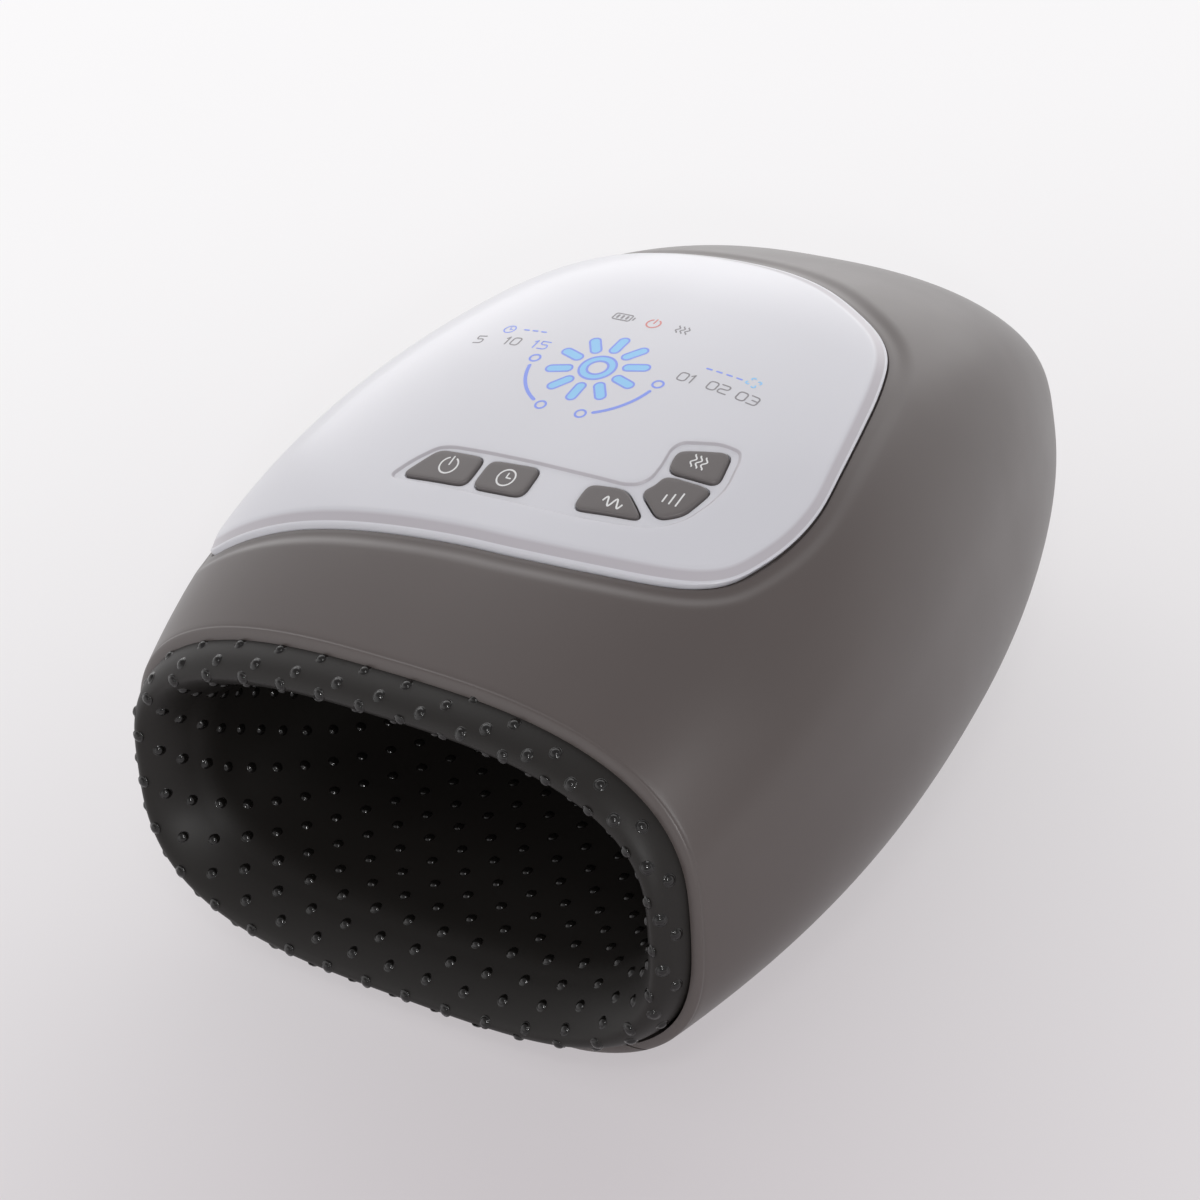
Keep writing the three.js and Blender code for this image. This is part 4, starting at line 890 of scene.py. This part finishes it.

# Panel: offsets and insets of its rim, offsets, drops and shares of painted shade of the sunk island's edge, and
# offsets and drops of the key holes' edges
PANEL_RIM = (
    (0, 1.6), (0, 0.34), (-0.06, 0.12), (-0.2, -0.04), (-0.4, -0.1), (-0.58, -0.07), (-0.7, -0.07), (-0.85, -0.11),
    (-1.6, -0.31), (-2.6, -0.57), (-3.5, -0.81), (-3.8, -0.87), (-4.15, -0.9), (-4.6, -0.905),
)
# The rim rings that form the bevel, which get painted shade
BEVEL_OFFSETS = (-0.85, -1.6, -2.6)
ISLAND_RIM = ((0.3, 0, 0), (0.12, 0.02, 0.7), (0.0, 0.1, 1), (-0.2, 0.42, 1), (-0.3, 0.49, 0.8), (-0.42, 0.5, 0))
HOLE_RIM = ((0.2, 0), (0.08, 0.03), (0.0, 0.12))


def panel_mesh():
    shape = Shape()
    rim = [grown(panel_loop, offset) for offset, _ in PANEL_RIM]
    # The bevel's rings carry painted shade
    shape.strip([top_points(*loop.T, inset) for loop, (_, inset) in zip(rim, PANEL_RIM)],
                greyed=[float(offset in BEVEL_OFFSETS) for offset, _ in PANEL_RIM])
    crown, floor = -PANEL_PROUD, ISLAND_DEPTH - PANEL_PROUD
    border = rim[-1]
    island = rounded_loop([pad_point(s) for s in ISLAND_CORNER_SHARES], ISLAND_CORNER)
    # The island's edge rings carry their shares of painted shade
    rows = [(border, PANEL_RIM[-1][1], 0)]
    rows += [(grown(island, offset), crown + depth, share) for offset, depth, share in ISLAND_RIM]
    tops, bottoms, holes = [], [], []
    for loop in key_loops.values():
        for offset, depth in HOLE_RIM:
            placed, plane = skin_over(grown(loop, KEY_GAP + offset), floor + depth)
            rows.append((plane, floor + depth, 0))
        tops.append(placed)
        holes.append(plane)
        bottoms.append(skin_over(grown(loop, KEY_GAP), PANEL_THICKNESS))
    loops, insets, shares = zip(*rows)
    low, high = border.min(0), border.max(0)
    loose = grid_points(low, high, PANEL_GRID)
    loose = spaced_from(loose[inside(loose, grown(border, -1.0))], loops[1:], PANEL_GRID_ROOM)
    points, faces = triangles(loops, loose, holes=holes, border=border)
    depth = per_point(loops, insets, np.where(inside(loose, grown(island, -0.4)), floor, crown))
    shape.add(top_points(*points.T, depth), faces, per_point(loops, shares, np.zeros(len(loose))))
    under_loops = [rim[0]] + [plane for _, plane in bottoms]
    under = grid_points(low, high, UNDER_GRID)
    under = spaced_from(under[inside(under, grown(rim[0], -2))], under_loops[1:], UNDER_GRID_ROOM)
    points, faces = triangles(under_loops, under, holes=under_loops[1:], border=rim[0])
    shape.add(top_points(*points.T, PANEL_THICKNESS), faces)
    for top, (bottom, _) in zip(tops, bottoms):
        shape.strip([top, bottom])
    return shape.mesh("panel_face")


finish_piece("panel_face", panel_mesh(), "panel_pearl", ["display_panel"], sharp=50)

KEY_EDGE = ((-0.02, 0.42), (-0.05, 0.25), (-0.12, 0.11), (-0.25, 0.03), (-0.42, 0.0))


def key_mesh(name):
    """A key: its rounded top, its straight sides and the flange that holds it under the panel."""
    shape = Shape()
    loop = key_loops[name]
    under, below = grown(loop, KEY_FLANGE), FLANGE_TOP + FLANGE_THICKNESS
    rings = [skin_over(*ring)[0] for ring in ((under, below), (under, FLANGE_TOP), (loop, FLANGE_TOP))]
    rings += [skin_over(grown(loop, offset), -KEY_PROUD)[0] - drop * PAD_NORMAL for offset, drop in KEY_EDGE]
    shape.strip(rings)
    top = grown(loop, KEY_EDGE[-1][0])
    loose = grid_points(top.min(0), top.max(0), KEY_GRID)
    loose = spaced_from(loose[inside(loose, top)], [top], KEY_GRID_ROOM)
    for border, loose, inset in ((top, loose, -KEY_PROUD), (under, np.zeros((0, 2)), below)):
        points, faces = triangles([border], loose, border=border)
        shape.add(skin_over(points, inset)[0], faces)
    return shape.mesh("key_cap_" + name)


for name in KEY_CORNER_SHARES:
    finish_piece("key_cap_" + name, key_mesh(name), "key_grey", ["key_" + name], "key_" + name, 50)


# Sleeve: its fat rim rolls into the pocket
SLEEVE_ANGLES = 2 * math.pi * np.arange(SLEEVE_SIDES) / SLEEVE_SIDES


def rim_points(station, inset, angle):
    edge = case_points(0.0, angle, inset)
    z = eased_floor(edge[..., 2], SLEEVE_FLOOR, SLEEVE_FLOOR_TURN)
    return np.stack([edge[..., 0], MOUTH_Y + station + LEAN_SHARE * z, z], -1)


def pocket_points(station, angle, margin=0.0):
    depth = POCKET_DEPTH + margin
    closing = np.clip((station / depth - POCKET_CLOSING_SHARE) / (1 - POCKET_CLOSING_SHARE), 0, 1)
    factor = (1 - closing**POCKET_CLOSING_POWER) ** (1 / POCKET_CLOSING_POWER)
    taper = 1 - POCKET_TAPER_SHARE * station / POCKET_DEPTH
    across, up = np.cos(angle), np.sin(angle)
    reach = (np.abs(across) ** POCKET_POWER + np.abs(up) ** POCKET_POWER) ** (1 / POCKET_POWER)
    half_span = HALF_WIDTHS[0] - RIM_WIDTH
    half_rise = HEIGHTS[0] / 2 - RIM_WIDTH
    middle = HEIGHTS[0] / 2 + POCKET_RISE * station / POCKET_DEPTH
    x = (half_span * taper + margin) * factor * across / reach
    z = middle + (half_rise * taper + margin) * factor * up / reach
    return np.stack([x, station + lean(station, z) + MOUTH_Y, z], -1)


POCKET_FRONT = POCKET_FRONT_SHARE * POCKET_DEPTH
OUTER_INSET = CASE_WALL + RIM_GAP


def roll_profile():
    """Stations and insets of the rim's roll from its crest into the pocket, with their ways."""
    t = np.linspace(0, 1, ROLL_STEPS)[:, None]
    crest, seat = (-RIM_REACH, RIM_CREST_INSET), (POCKET_FRONT, RIM_WIDTH)
    corners = np.array([crest, (crest[0], crest[1] + ROLL_ROUND), (seat[0] - ROLL_SLOPE, seat[1]), seat])
    curve = ((1 - t) ** 3 * corners[0] + 3 * (1 - t) ** 2 * t * corners[1]
             + 3 * (1 - t) * t**2 * corners[2] + t**3 * corners[3])
    return ways_along(curve), curve


ROLL_WAYS, ROLL_CURVE = roll_profile()
RIM_ARC = SIDE_ARC + ROLL_WAYS[-1]
POCKET_ARC = POCKET_DEPTH - POCKET_FRONT


def lining_points(way, angle):
    """Points of the visible lining by the way in millimetres from the seat over the crest into the pocket."""
    way, angle = (a.astype(float) for a in np.broadcast_arrays(way, angle))
    side = np.clip(way / SIDE_ARC, 0, 1) * math.pi / 2
    roll = [np.interp(way - SIDE_ARC, ROLL_WAYS, ROLL_CURVE[:, i]) for i in (0, 1)]
    station = np.where(way < SIDE_ARC, -RIM_REACH * np.sin(side), roll[0])
    inset = np.where(way < SIDE_ARC, OUTER_INSET + (RIM_CREST_INSET - OUTER_INSET) * (1 - np.cos(side)), roll[1])
    depth = np.maximum(0, station) + np.maximum(0, way - RIM_ARC)
    mix = smoothstep(depth / POCKET_FRONT)[..., None]
    return (1 - mix) * rim_points(station, inset, angle) + mix * pocket_points(depth, angle)


def slowing(count):
    """Shares from nought to one that draw closer together."""
    return 1 - (1 - np.linspace(0, 1, count)) ** 1.5


def sleeve_mesh():
    """The whole sleeve as one closed shell: lining, rim and the back of the pocket's wall."""
    ways = np.concatenate([np.linspace(0, RIM_ARC, RIM_RINGS), RIM_ARC + POCKET_ARC * slowing(POCKET_RINGS)[1:-1]])
    back_end = POCKET_DEPTH + SLEEVE_WALL
    back_front = BACK_START_SHARE * back_end
    back_stations = back_front + (back_end - back_front) * slowing(BACK_RINGS)[:-1]
    rings = [lining_points(way, SLEEVE_ANGLES) for way in ways[::-1]]
    rings += [rim_points(RIM_SEAT, inset, SLEEVE_ANGLES) for inset in (OUTER_INSET, RIM_WIDTH - SLEEVE_WALL)]
    rings += [pocket_points(station, SLEEVE_ANGLES, SLEEVE_WALL) for station in back_stations]
    return Shape().body(rings).mesh("sleeve_skin")


def girth_angles(way, shares):
    """Angles at which shares of a ring's length lie, from the crown to the right."""
    fine = math.pi / 2 - np.linspace(0, 2 * math.pi, GIRTH_STEPS)
    lengths = ways_along(lining_points(way, fine))
    return np.interp(shares % 1, lengths / lengths[-1], fine)


def bump_rows():
    """Feet of the bumps and the directions they point in."""
    feet, ways = [], list(BUMP_RIM_WAYS)
    while ways[-1] + BUMP_ROW_PITCH < RIM_ARC + POCKET_ARC - BUMP_END_ROOM:
        ways.append(ways[-1] + BUMP_ROW_PITCH)
    top, top_span, low, low_span = (math.radians(turn) for turn in BUMP_DRIFT_TURNS)
    for row, way in enumerate(ways):
        shares = (np.arange(BUMPS_PER_ROW) + BUMP_PHASE + BUMP_ROW_SHIFT * row) / BUMPS_PER_ROW
        angle = girth_angles(max(way, 1.0), shares)
        turned = (angle + math.pi / 2) % (2 * math.pi) - math.pi / 2
        drift = smoothstep((top - turned) / top_span) * np.clip((turned - low) / low_span, 0, 1)
        own = way + BUMP_DRIFT * drift * max(0, 1 - way / BUMP_DRIFT_END)
        keep = own > BUMP_FIRST_WAY
        feet.append(np.stack([own[keep], angle[keep]], -1))
    way, angle = np.vstack(feet).T
    here = lining_points(way, angle)
    along = lining_points(way + WAY_STEP, angle) - here
    around = lining_points(way, angle + TURN_STEP) - here
    outward = np.cross(around, along)
    outward /= np.linalg.norm(outward, axis=1)[:, None]
    return here, outward


def scatter_tree():
    """A node tree that puts copies of a small body on points, each turned to the point's outward direction."""
    tree = bpy.data.node_groups.new("scattered_bodies", "GeometryNodeTree")
    tree.interface.new_socket("Geometry", in_out="OUTPUT", socket_type="NodeSocketGeometry")
    tree.interface.new_socket("Geometry", in_out="INPUT", socket_type="NodeSocketGeometry")
    body_key = tree.interface.new_socket("Body", in_out="INPUT", socket_type="NodeSocketObject").identifier
    nodes = Nodes(tree)
    points, body = (nodes.node("NodeGroupInput", {}, {}, label) for label in ("Geometry", "Body"))
    body = nodes.node("GeometryNodeObjectInfo", {}, {"Object": body}, "Geometry")
    outward = nodes.node("GeometryNodeInputNamedAttribute", {"data_type": "FLOAT_VECTOR"}, {"Name": "outward"})
    turn = nodes.node("FunctionNodeAlignRotationToVector", {"axis": "Z"}, {"Vector": outward})
    copies = nodes.node("GeometryNodeInstanceOnPoints", {}, {"Points": points, "Instance": body, "Rotation": turn})
    real = nodes.node("GeometryNodeRealizeInstances", {}, {"Geometry": copies})
    nodes.node("NodeGroupOutput", {}, {"Geometry": real})
    return tree, body_key


SCATTER, SCATTER_BODY_KEY = scatter_tree()


def scattered(name, places, body, outward=(0, 0, 1)):
    """A mesh of bodies standing on places."""
    points = bpy.data.meshes.new(name)
    points.from_pydata([tuple(p) for p in np.asarray(places) * MM], [], [])
    directions = np.broadcast_to(np.asarray(outward, np.float32), (len(places), 3))
    points.attributes.new("outward", "FLOAT_VECTOR", "POINT").data.foreach_set("vector", directions.ravel())
    standing, single = put(name, points), bpy.data.objects.new(name + "_body", body)
    step = standing.modifiers.new("scatter", "NODES")
    step.node_group = SCATTER
    step[SCATTER_BODY_KEY] = single
    result = plain_mesh(standing)
    bpy.data.objects.remove(single)
    return result


def turned_body(name, profile, sides):
    """A closed body turned about Z from radii and heights, with caps where it ends."""
    return Shape().body(turned_rings(profile, sides)).mesh(name)


bump_feet, bump_outward = bump_rows()
bump_body = turned_body("bump", BUMP_PROFILE, BUMP_SIDES)
bump_body.vertices[-1].co.z = BUMP_HEIGHT * MM
finish_piece("sleeve_skin", sleeve_mesh(), "sleeve_silicone", ["liner_sleeve"], sharp=60)
# The bumps take a darker look than the sleeve: painted shade
finish_piece("sleeve_bumps", scattered("bumps", bump_feet, bump_body, bump_outward), "sleeve_silicone",
             sharp=80, look="bumps")

# Feet
FOOT_PROFILE = ((5.7, 0.0), (6.1, 0.08), (6.38, 0.32), (6.5, 0.8), (6.5, 3.2))
FOOT_SIDES = 72
feet = scattered("feet", [(x, y, 0.0) for x, y in foot_spots], turned_body("foot", FOOT_PROFILE, FOOT_SIDES))
finish_piece("rubber_feet", feet, "foot_rubber", FOOT_NODES, sharp=40)

# Base screws: a flat head with a cross recess of four lobes, and a short shank
SCREW_PROFILE = (
    (0.9, 0.9), (1.0, 0.02), (2.3, 0.0), (2.62, 0.1), (2.8, 0.4), (2.8, 1.75), (1.4, 1.8), (1.4, 7.6), (0.5, 9.6),
)
SCREW_SIDES = 96
RECESS_STEPS = 2
lobes = 0.62 + 0.72 * np.abs(np.cos(2 * (2 * math.pi * np.arange(SCREW_SIDES) / SCREW_SIDES))) ** 3
screw_profile = [(r * lobes if i < RECESS_STEPS else r, z) for i, (r, z) in enumerate(SCREW_PROFILE)]
screw_places = [(x, y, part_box(node)[0][2] / MM) for (x, y), node in zip(screw_spots, SCREW_NODES)]
screws = scattered("screws", screw_places, turned_body("screw", screw_profile, SCREW_SIDES))
finish_piece("base_screws", screws, "bright_steel", SCREW_NODES, sharp=40)


# Printed and lit symbols: thin raised strokes that follow the surface under them
def heading(turn):
    """The unit vector that points along a direction in degrees, counted from the right."""
    return np.array([math.cos(math.radians(turn)), math.sin(math.radians(turn))])


def eased_path(corners, radius, closed=False):
    """A path through corners that are rounded off, in the steps of a stroke."""
    path = rounded_corners(corners, radius, STROKE_SIDE_PART, STROKE_CORNER_STEPS, closed)
    count = max(3, int(ways_along(path)[-1] / STROKE_STEP))
    return respaced(path, count - 1 if closed else count, closed)


def arc_path(middle, radius, start, end, steps=40):
    """An arc between two angles in degrees, counted from the right."""
    turns = np.radians(np.linspace(start, end, steps))
    return np.array(middle) + radius * np.stack([np.cos(turns), np.sin(turns)], -1)


def ring_path(middle, radius):
    return arc_path(middle, radius, 0, 360, 49)[:-1]


def capsule_path(middle, turn, length, width):
    """The closed outline of a capsule that points along a direction in degrees."""
    half, reach = width / 2, length / 2 - width / 2
    ends = [(side * reach + half * np.cos(a), half * np.sin(a))
            for side, low in ((1, -90), (-1, 90)) for a in np.radians(np.linspace(low, low + 180, 13))]
    c, s = heading(turn)
    return np.array([(middle[0] + x * c - y * s, middle[1] + x * s + y * c) for x, y in ends])


def wave_path(middle, length, swing, bends, upright=False):
    """A wavy line."""
    t = np.linspace(-0.5, 0.5, 60)
    way, off = t * length, swing * np.sin(t * bends * math.pi)
    return np.array(middle) + (np.stack([off, way], -1) if upright else np.stack([way, off], -1))


class Print(Shape):
    """Strokes on a surface, given by a function of plane points and heights."""

    def __init__(self, surface, origin=(0, 0)):
        super().__init__()
        self.surface, self.origin = surface, np.array(origin, float)

    def line(self, path, width, height=PRINT_HEIGHT, closed=False):
        """A stroke along a path, with round ends where it is open."""
        path = np.array(path, float) + self.origin
        along = np.roll(path, -1, 0) - np.roll(path, 1, 0) if closed else np.gradient(path, axis=0)
        along /= np.linalg.norm(along, axis=1)[:, None]
        halves = np.full(len(path), width / 2)
        if not closed:
            turns = np.radians(STROKE_END_TURNS)
            head = [path[0] - along[0] * width / 2 * math.sin(t) for t in turns]
            tail = [path[-1] + along[-1] * width / 2 * math.sin(t) for t in turns[::-1]]
            ends = width / 2 * np.cos(turns)
            halves = np.concatenate([ends, halves, ends[::-1]])
            along = np.vstack([[along[0]] * len(turns), along, [along[-1]] * len(turns)])
            path = np.vstack([head, path, tail])
        side = np.stack([-along[:, 1], along[:, 0]], -1) * halves[:, None]
        edges = ((side, -PRINT_SINK), (side, height), (-side, height), (-side, -PRINT_SINK))
        rings = np.stack([self.surface(path + off, rise) for off, rise in edges], 1)
        if closed:
            self.strip([*rings, rings[0]])
        else:
            self.body(rings)
        return self

    def bar(self, start, end, width, height=PRINT_HEIGHT):
        """A straight stroke that bends with the surface at its middle."""
        start, end = np.array(start, float), np.array(end, float)
        return self.line([start, (start + end) / 2, end], width, height)

    def figures(self, text, left, base):
        """Plain numbers."""
        for figure in text:
            for corners, closed in FIGURES[figure]:
                placed = [(left + x * FIGURE_WIDTH, base + y * FIGURE_HEIGHT) for x, y in corners]
                path = eased_path(placed, FIGURE_CORNER_SHARE * FIGURE_HEIGHT, closed)
                self.line(path, THIN_STROKE, closed=closed)
            left += FIGURE_WIDTH * (FIGURE_ONE_SHARE if figure == "1" else 1) + FIGURE_GAP


FIGURES = {
    "0": [([(0, 0), (1, 0), (1, 1), (0, 1)], True)],
    "1": [([(0, 0.8), (0.3, 1)], False), ([(0.3, 1), (0.3, 0)], False)],
    "2": [([(0, 1), (1, 1), (1, 0.52), (0, 0.48), (0, 0), (1, 0)], False)],
    "3": [([(0, 1), (1, 1), (1, 0), (0, 0)], False), ([(0.35, 0.5), (1, 0.5)], False)],
    "5": [([(1, 1), (0, 1)], False), ([(0, 1), (0, 0.55), (1, 0.6), (1, 0), (0, 0)], False)],
}


def panel_at(points, height):
    return top_points(points[:, 0], points[:, 1], -PANEL_PROUD - height)


def key_at(points, height):
    return skin_over(points, -KEY_PROUD - height)[0]


# Icons of the keys
key_icons = {name: Print(key_at, pad_loop(np.array([KEY_ICON_PLACES[name]]))[0]) for name in KEY_ICON_PLACES}
key_icons["power"].line(arc_path((0, 0), 2.35, 118, 422), BOLD_STROKE).bar((0, 0.2), (0, 2.6), BOLD_STROKE)
key_icons["timer"].line(ring_path((0, 0), 2.3), BOLD_STROKE, closed=True)
key_icons["timer"].line([(0, 1.3), (0, 0.6), (0, 0)], THIN_STROKE).bar((0, 0), (1.2, 0), THIN_STROKE)
key_icons["mode"].line(wave_path((0, 0), 5.0, 1.15, 4), 0.44)
for x, rise in ((-1.7, 1.9), (0, 2.7), (1.7, 3.6)):
    key_icons["level"].bar((x, -1.6), (x, rise - 1.6), 0.4)
for x in (-1.35, 0, 1.35):
    key_icons["heat"].line(wave_path((x, 0), 3.4, 0.42, 3, upright=True), THIN_STROKE)
for name, icon in key_icons.items():
    finish_piece("key_icon_" + name, icon.mesh("key_icon_" + name), "panel_pearl",
                 body="key_" + name, look="white_print")

# Numbers and small icons beside the dial
grey, blue, cyan = Print(panel_at), Print(panel_at), Print(panel_at)
for strokes, text, left, base in (
        (grey, "5", -38.2, 94.1), (grey, "10", -29.6, 94.3), (blue, "15", -21.4, 94.3),
        (grey, "01", 20.2, 93.9), (grey, "02", 28.0, 93.8), (grey, "03", 35.6, 93.7)):
    strokes.figures(text, left, base)
battery = eased_path([(-9.0, 111.1), (-4.2, 111.1), (-4.2, 113.7), (-9.0, 113.7)], 0.6, True)
grey.line(battery, THIN_STROKE, closed=True)
for x, width in ((-3.4, THIN_STROKE), (-7.9, 0.6), (-6.6, 0.6), (-5.3, 0.6)):
    grey.bar((x, 111.9), (x, 112.9), width)
for x in (9.4, 10.7, 12.0):
    grey.line(wave_path((x, 112.1), 2.8, 0.36, 3, upright=True), 0.34)
finish_piece("grey_symbols", grey.mesh("grey_symbols"), "key_grey", look="grey_print")

red = Print(panel_at, (2.4, 112.2))
red.line(arc_path((0, 0), 1.75, 122, 418), BOLD_STROKE).bar((0, 0.1), (0, 1.9), 0.38)
finish_piece("red_symbol", red.mesh("red_symbol"), "red_lead", look="red_print")

blue.line(ring_path((-31.6, 100.7), 1.5), THIN_STROKE, closed=True)
blue.line([(-31.6, 101.5), (-31.6, 100.7), (-30.9, 100.7)], 0.3)
for y, xs in ((101.0, (-27.4, -24.9, -22.4)), (100.5, (24.6, 27.2, 29.8, 32.4))):
    for x in xs:
        blue.bar((x, y), (x + 1.2, y), 0.5)
for turn in (20, 110, 200, 290):
    cyan.line(capsule_path((36.4, 100.9) + heading(turn), turn + 25, 1.5, 0.9)[:13], 0.4)

# Dial of lit rings and bars in the middle of the panel
middle = np.array(DIAL_MIDDLE)
for radius in DIAL_RINGS:
    blue.line(ring_path(middle, radius), 0.6, closed=True)
cyan.line(ring_path(middle, sum(DIAL_RINGS) / 2), DIAL_RINGS[1] - DIAL_RINGS[0], PRINT_HEIGHT / 2, closed=True)
for i in range(DIAL_BARS):
    turn = 90 + 360 * i / DIAL_BARS
    place, half = middle + DIAL_BAR_PLACE * heading(turn), (DIAL_BAR_LENGTH - DIAL_BAR_WIDTH) / 2 * heading(turn)
    cyan.bar(place - half, place + half, DIAL_BAR_WIDTH, PRINT_HEIGHT / 2)
    blue.line(capsule_path(place, turn, DIAL_BAR_LENGTH, DIAL_BAR_WIDTH), 0.5, closed=True)
for side in DIAL_BRACKET_TURNS:
    blue.line(arc_path(middle, DIAL_BRACKET, side - DIAL_BRACKET_REACH, side + DIAL_BRACKET_REACH), 0.9)
    for turn in (side - DIAL_DOT_REACH, side + DIAL_DOT_REACH):
        blue.line(ring_path(middle + DIAL_BRACKET * heading(turn), DIAL_DOT_RADIUS), 0.55, closed=True)
finish_piece("lit_lines", blue.mesh("lit_lines"), "diffuser", look="blue_print")
finish_piece("lit_fields", cyan.mesh("lit_fields"), "diffuser", look="cyan_print")


# Stage
FLOOR_REACH = 30
PAPER_WHITE = rgb(255, 254, 255)
# Painted shadow: the colour the paper's glow turns to round a spot near the massager, for its soft shadow and the
# dimming of the light
PAPER_PAINTED_SHADOW = rgb(190, 181, 186)
PAPER_DIFFUSE = (0.8, 0.79, 0.795, 1)
PAINTED_SHADOW_SPOT = (0.1, -0.2, 0)
PAINTED_SHADOW_REACH = 0.62
PAPER_SHARE = 0.6
SHADOW_REACH = 1.6
HORIZON_LIGHT = (1, 0.985, 0.99, 1)
CEILING_LIGHT = (0.33, 0.322, 0.328, 1)
CEILING_SPAN = (0.35, 0.8)
CAMERA_SIDE = (0.86, -0.51, 0)
CAMERA_SIDE_SPAN = (0.1, 0.85)
LAMP_TARGET = Vector((0, 0, 0.05))
# Each lamp's place, width and height, and power
LAMPS = {
    "back_softbox": ((-0.7, 1.2, 0.95), (2.6, 2.0), 18.5),
    "side_softbox": ((1.3, -0.5, 0.8), (1.1, 1.1), 0.9),
    "ceiling_panel": ((0.62, -0.58, 1.05), (0.28, 0.28), 1.7),
    "pocket_lamp": ((0.78, -0.84, 0.6), (0.06, 0.06), 3.0),
}


def near_spot(finish, middle, reach):
    """One at a spot, fading to nought at a reach."""
    inputs = {"Vector": finish.place, "Location": middle, "Scale": (reach,) * 3}
    placed = finish.node("ShaderNodeMapping", {"vector_type": "TEXTURE"}, inputs)
    return finish.node("ShaderNodeTexGradient", {"gradient_type": "QUADRATIC_SPHERE"}, {"Vector": placed}, "Fac")


def paper_material():
    """White paper that greys softly towards the camera's lower right, a painted soft shadow and painted dimming,
    and keeps the real shadow.
    """
    paper = Finish("white_paper")
    # Painted shadow: the glow darkens round a spot near the massager
    tone = paper.blend(near_spot(paper, PAINTED_SHADOW_SPOT, PAINTED_SHADOW_REACH), PAPER_WHITE, PAPER_PAINTED_SHADOW)
    near = near_spot(paper, (0, 0, 0), SHADOW_REACH)
    kept = paper.node("ShaderNodeMapRange", {}, {"Value": near, "To Min": 1, "To Max": PAPER_SHARE})
    seen = 0.0
    for ray in ("Is Camera Ray", "Is Glossy Ray", "Is Transmission Ray"):
        own = paper.node("ShaderNodeLightPath", {}, {}, ray)
        seen = paper.node("ShaderNodeMath", {"operation": "ADD", "use_clamp": True}, {0: seen, 1: own})
    shade = paper.node("ShaderNodeBsdfDiffuse", {}, {"Color": PAPER_DIFFUSE})
    glow = paper.node("ShaderNodeEmission", {}, {"Color": tone})
    return paper.done(paper.node("ShaderNodeMixShader", {}, {0: seen * kept, 1: shade, 2: glow}))


def make_floor():
    mesh = bpy.data.meshes.new("paper_floor")
    r = FLOOR_REACH
    mesh.from_pydata([(-r, -r, 0), (r, -r, 0), (r, r, 0), (-r, r, 0)], [], [(0, 1, 2, 3)])
    mesh.materials.append(paper_material())
    floor = put("paper_floor", mesh)


def make_lamp(name, place, size, power):
    lamp = bpy.data.lights.new(name, "AREA")
    lamp.shape, lamp.size, lamp.size_y, lamp.energy = "RECTANGLE", *size, power
    holder = put(name, lamp)
    holder.location = place
    holder.rotation_euler = (LAMP_TARGET - holder.location).to_track_quat("-Z", "Y").to_euler()


def make_room():
    """A plain room, white round the horizon and dimmer overhead, which the camera sees as white."""
    world = bpy.data.worlds.new("room")
    world.use_nodes = True
    room = Nodes(world.node_tree)
    way = room.node("ShaderNodeTexCoord", {}, {}, "Generated")
    rise = room.node("ShaderNodeSeparateXYZ", {}, {0: way}, "Z")
    side = room.node("ShaderNodeVectorMath", {"operation": "DOT_PRODUCT"}, {0: way, 1: CAMERA_SIDE}, "Value")
    light = HORIZON_LIGHT
    for value, (start, end) in ((rise, CEILING_SPAN), (side, CAMERA_SIDE_SPAN)):
        inputs = {"Value": value, "From Min": start, "From Max": end}
        share = room.node("ShaderNodeMapRange", {"interpolation_type": "SMOOTHSTEP"}, inputs)
        light = room.blend(share, light, CEILING_LIGHT)
    lit, seen = (room.node("ShaderNodeBackground", {}, {"Color": color}) for color in (light, PAPER_WHITE))
    camera_ray = room.node("ShaderNodeLightPath", {}, {}, "Is Camera Ray")
    both = room.node("ShaderNodeMixShader", {}, {0: camera_ray, 1: lit, 2: seen})
    room.node("ShaderNodeOutputWorld", {}, {"Surface": both})
    bpy.context.scene.world = world


make_floor()
make_room()
for name, (place, size, power) in LAMPS.items():
    make_lamp(name, place, size, power)
bpy.context.scene.view_settings.view_transform = "Standard"
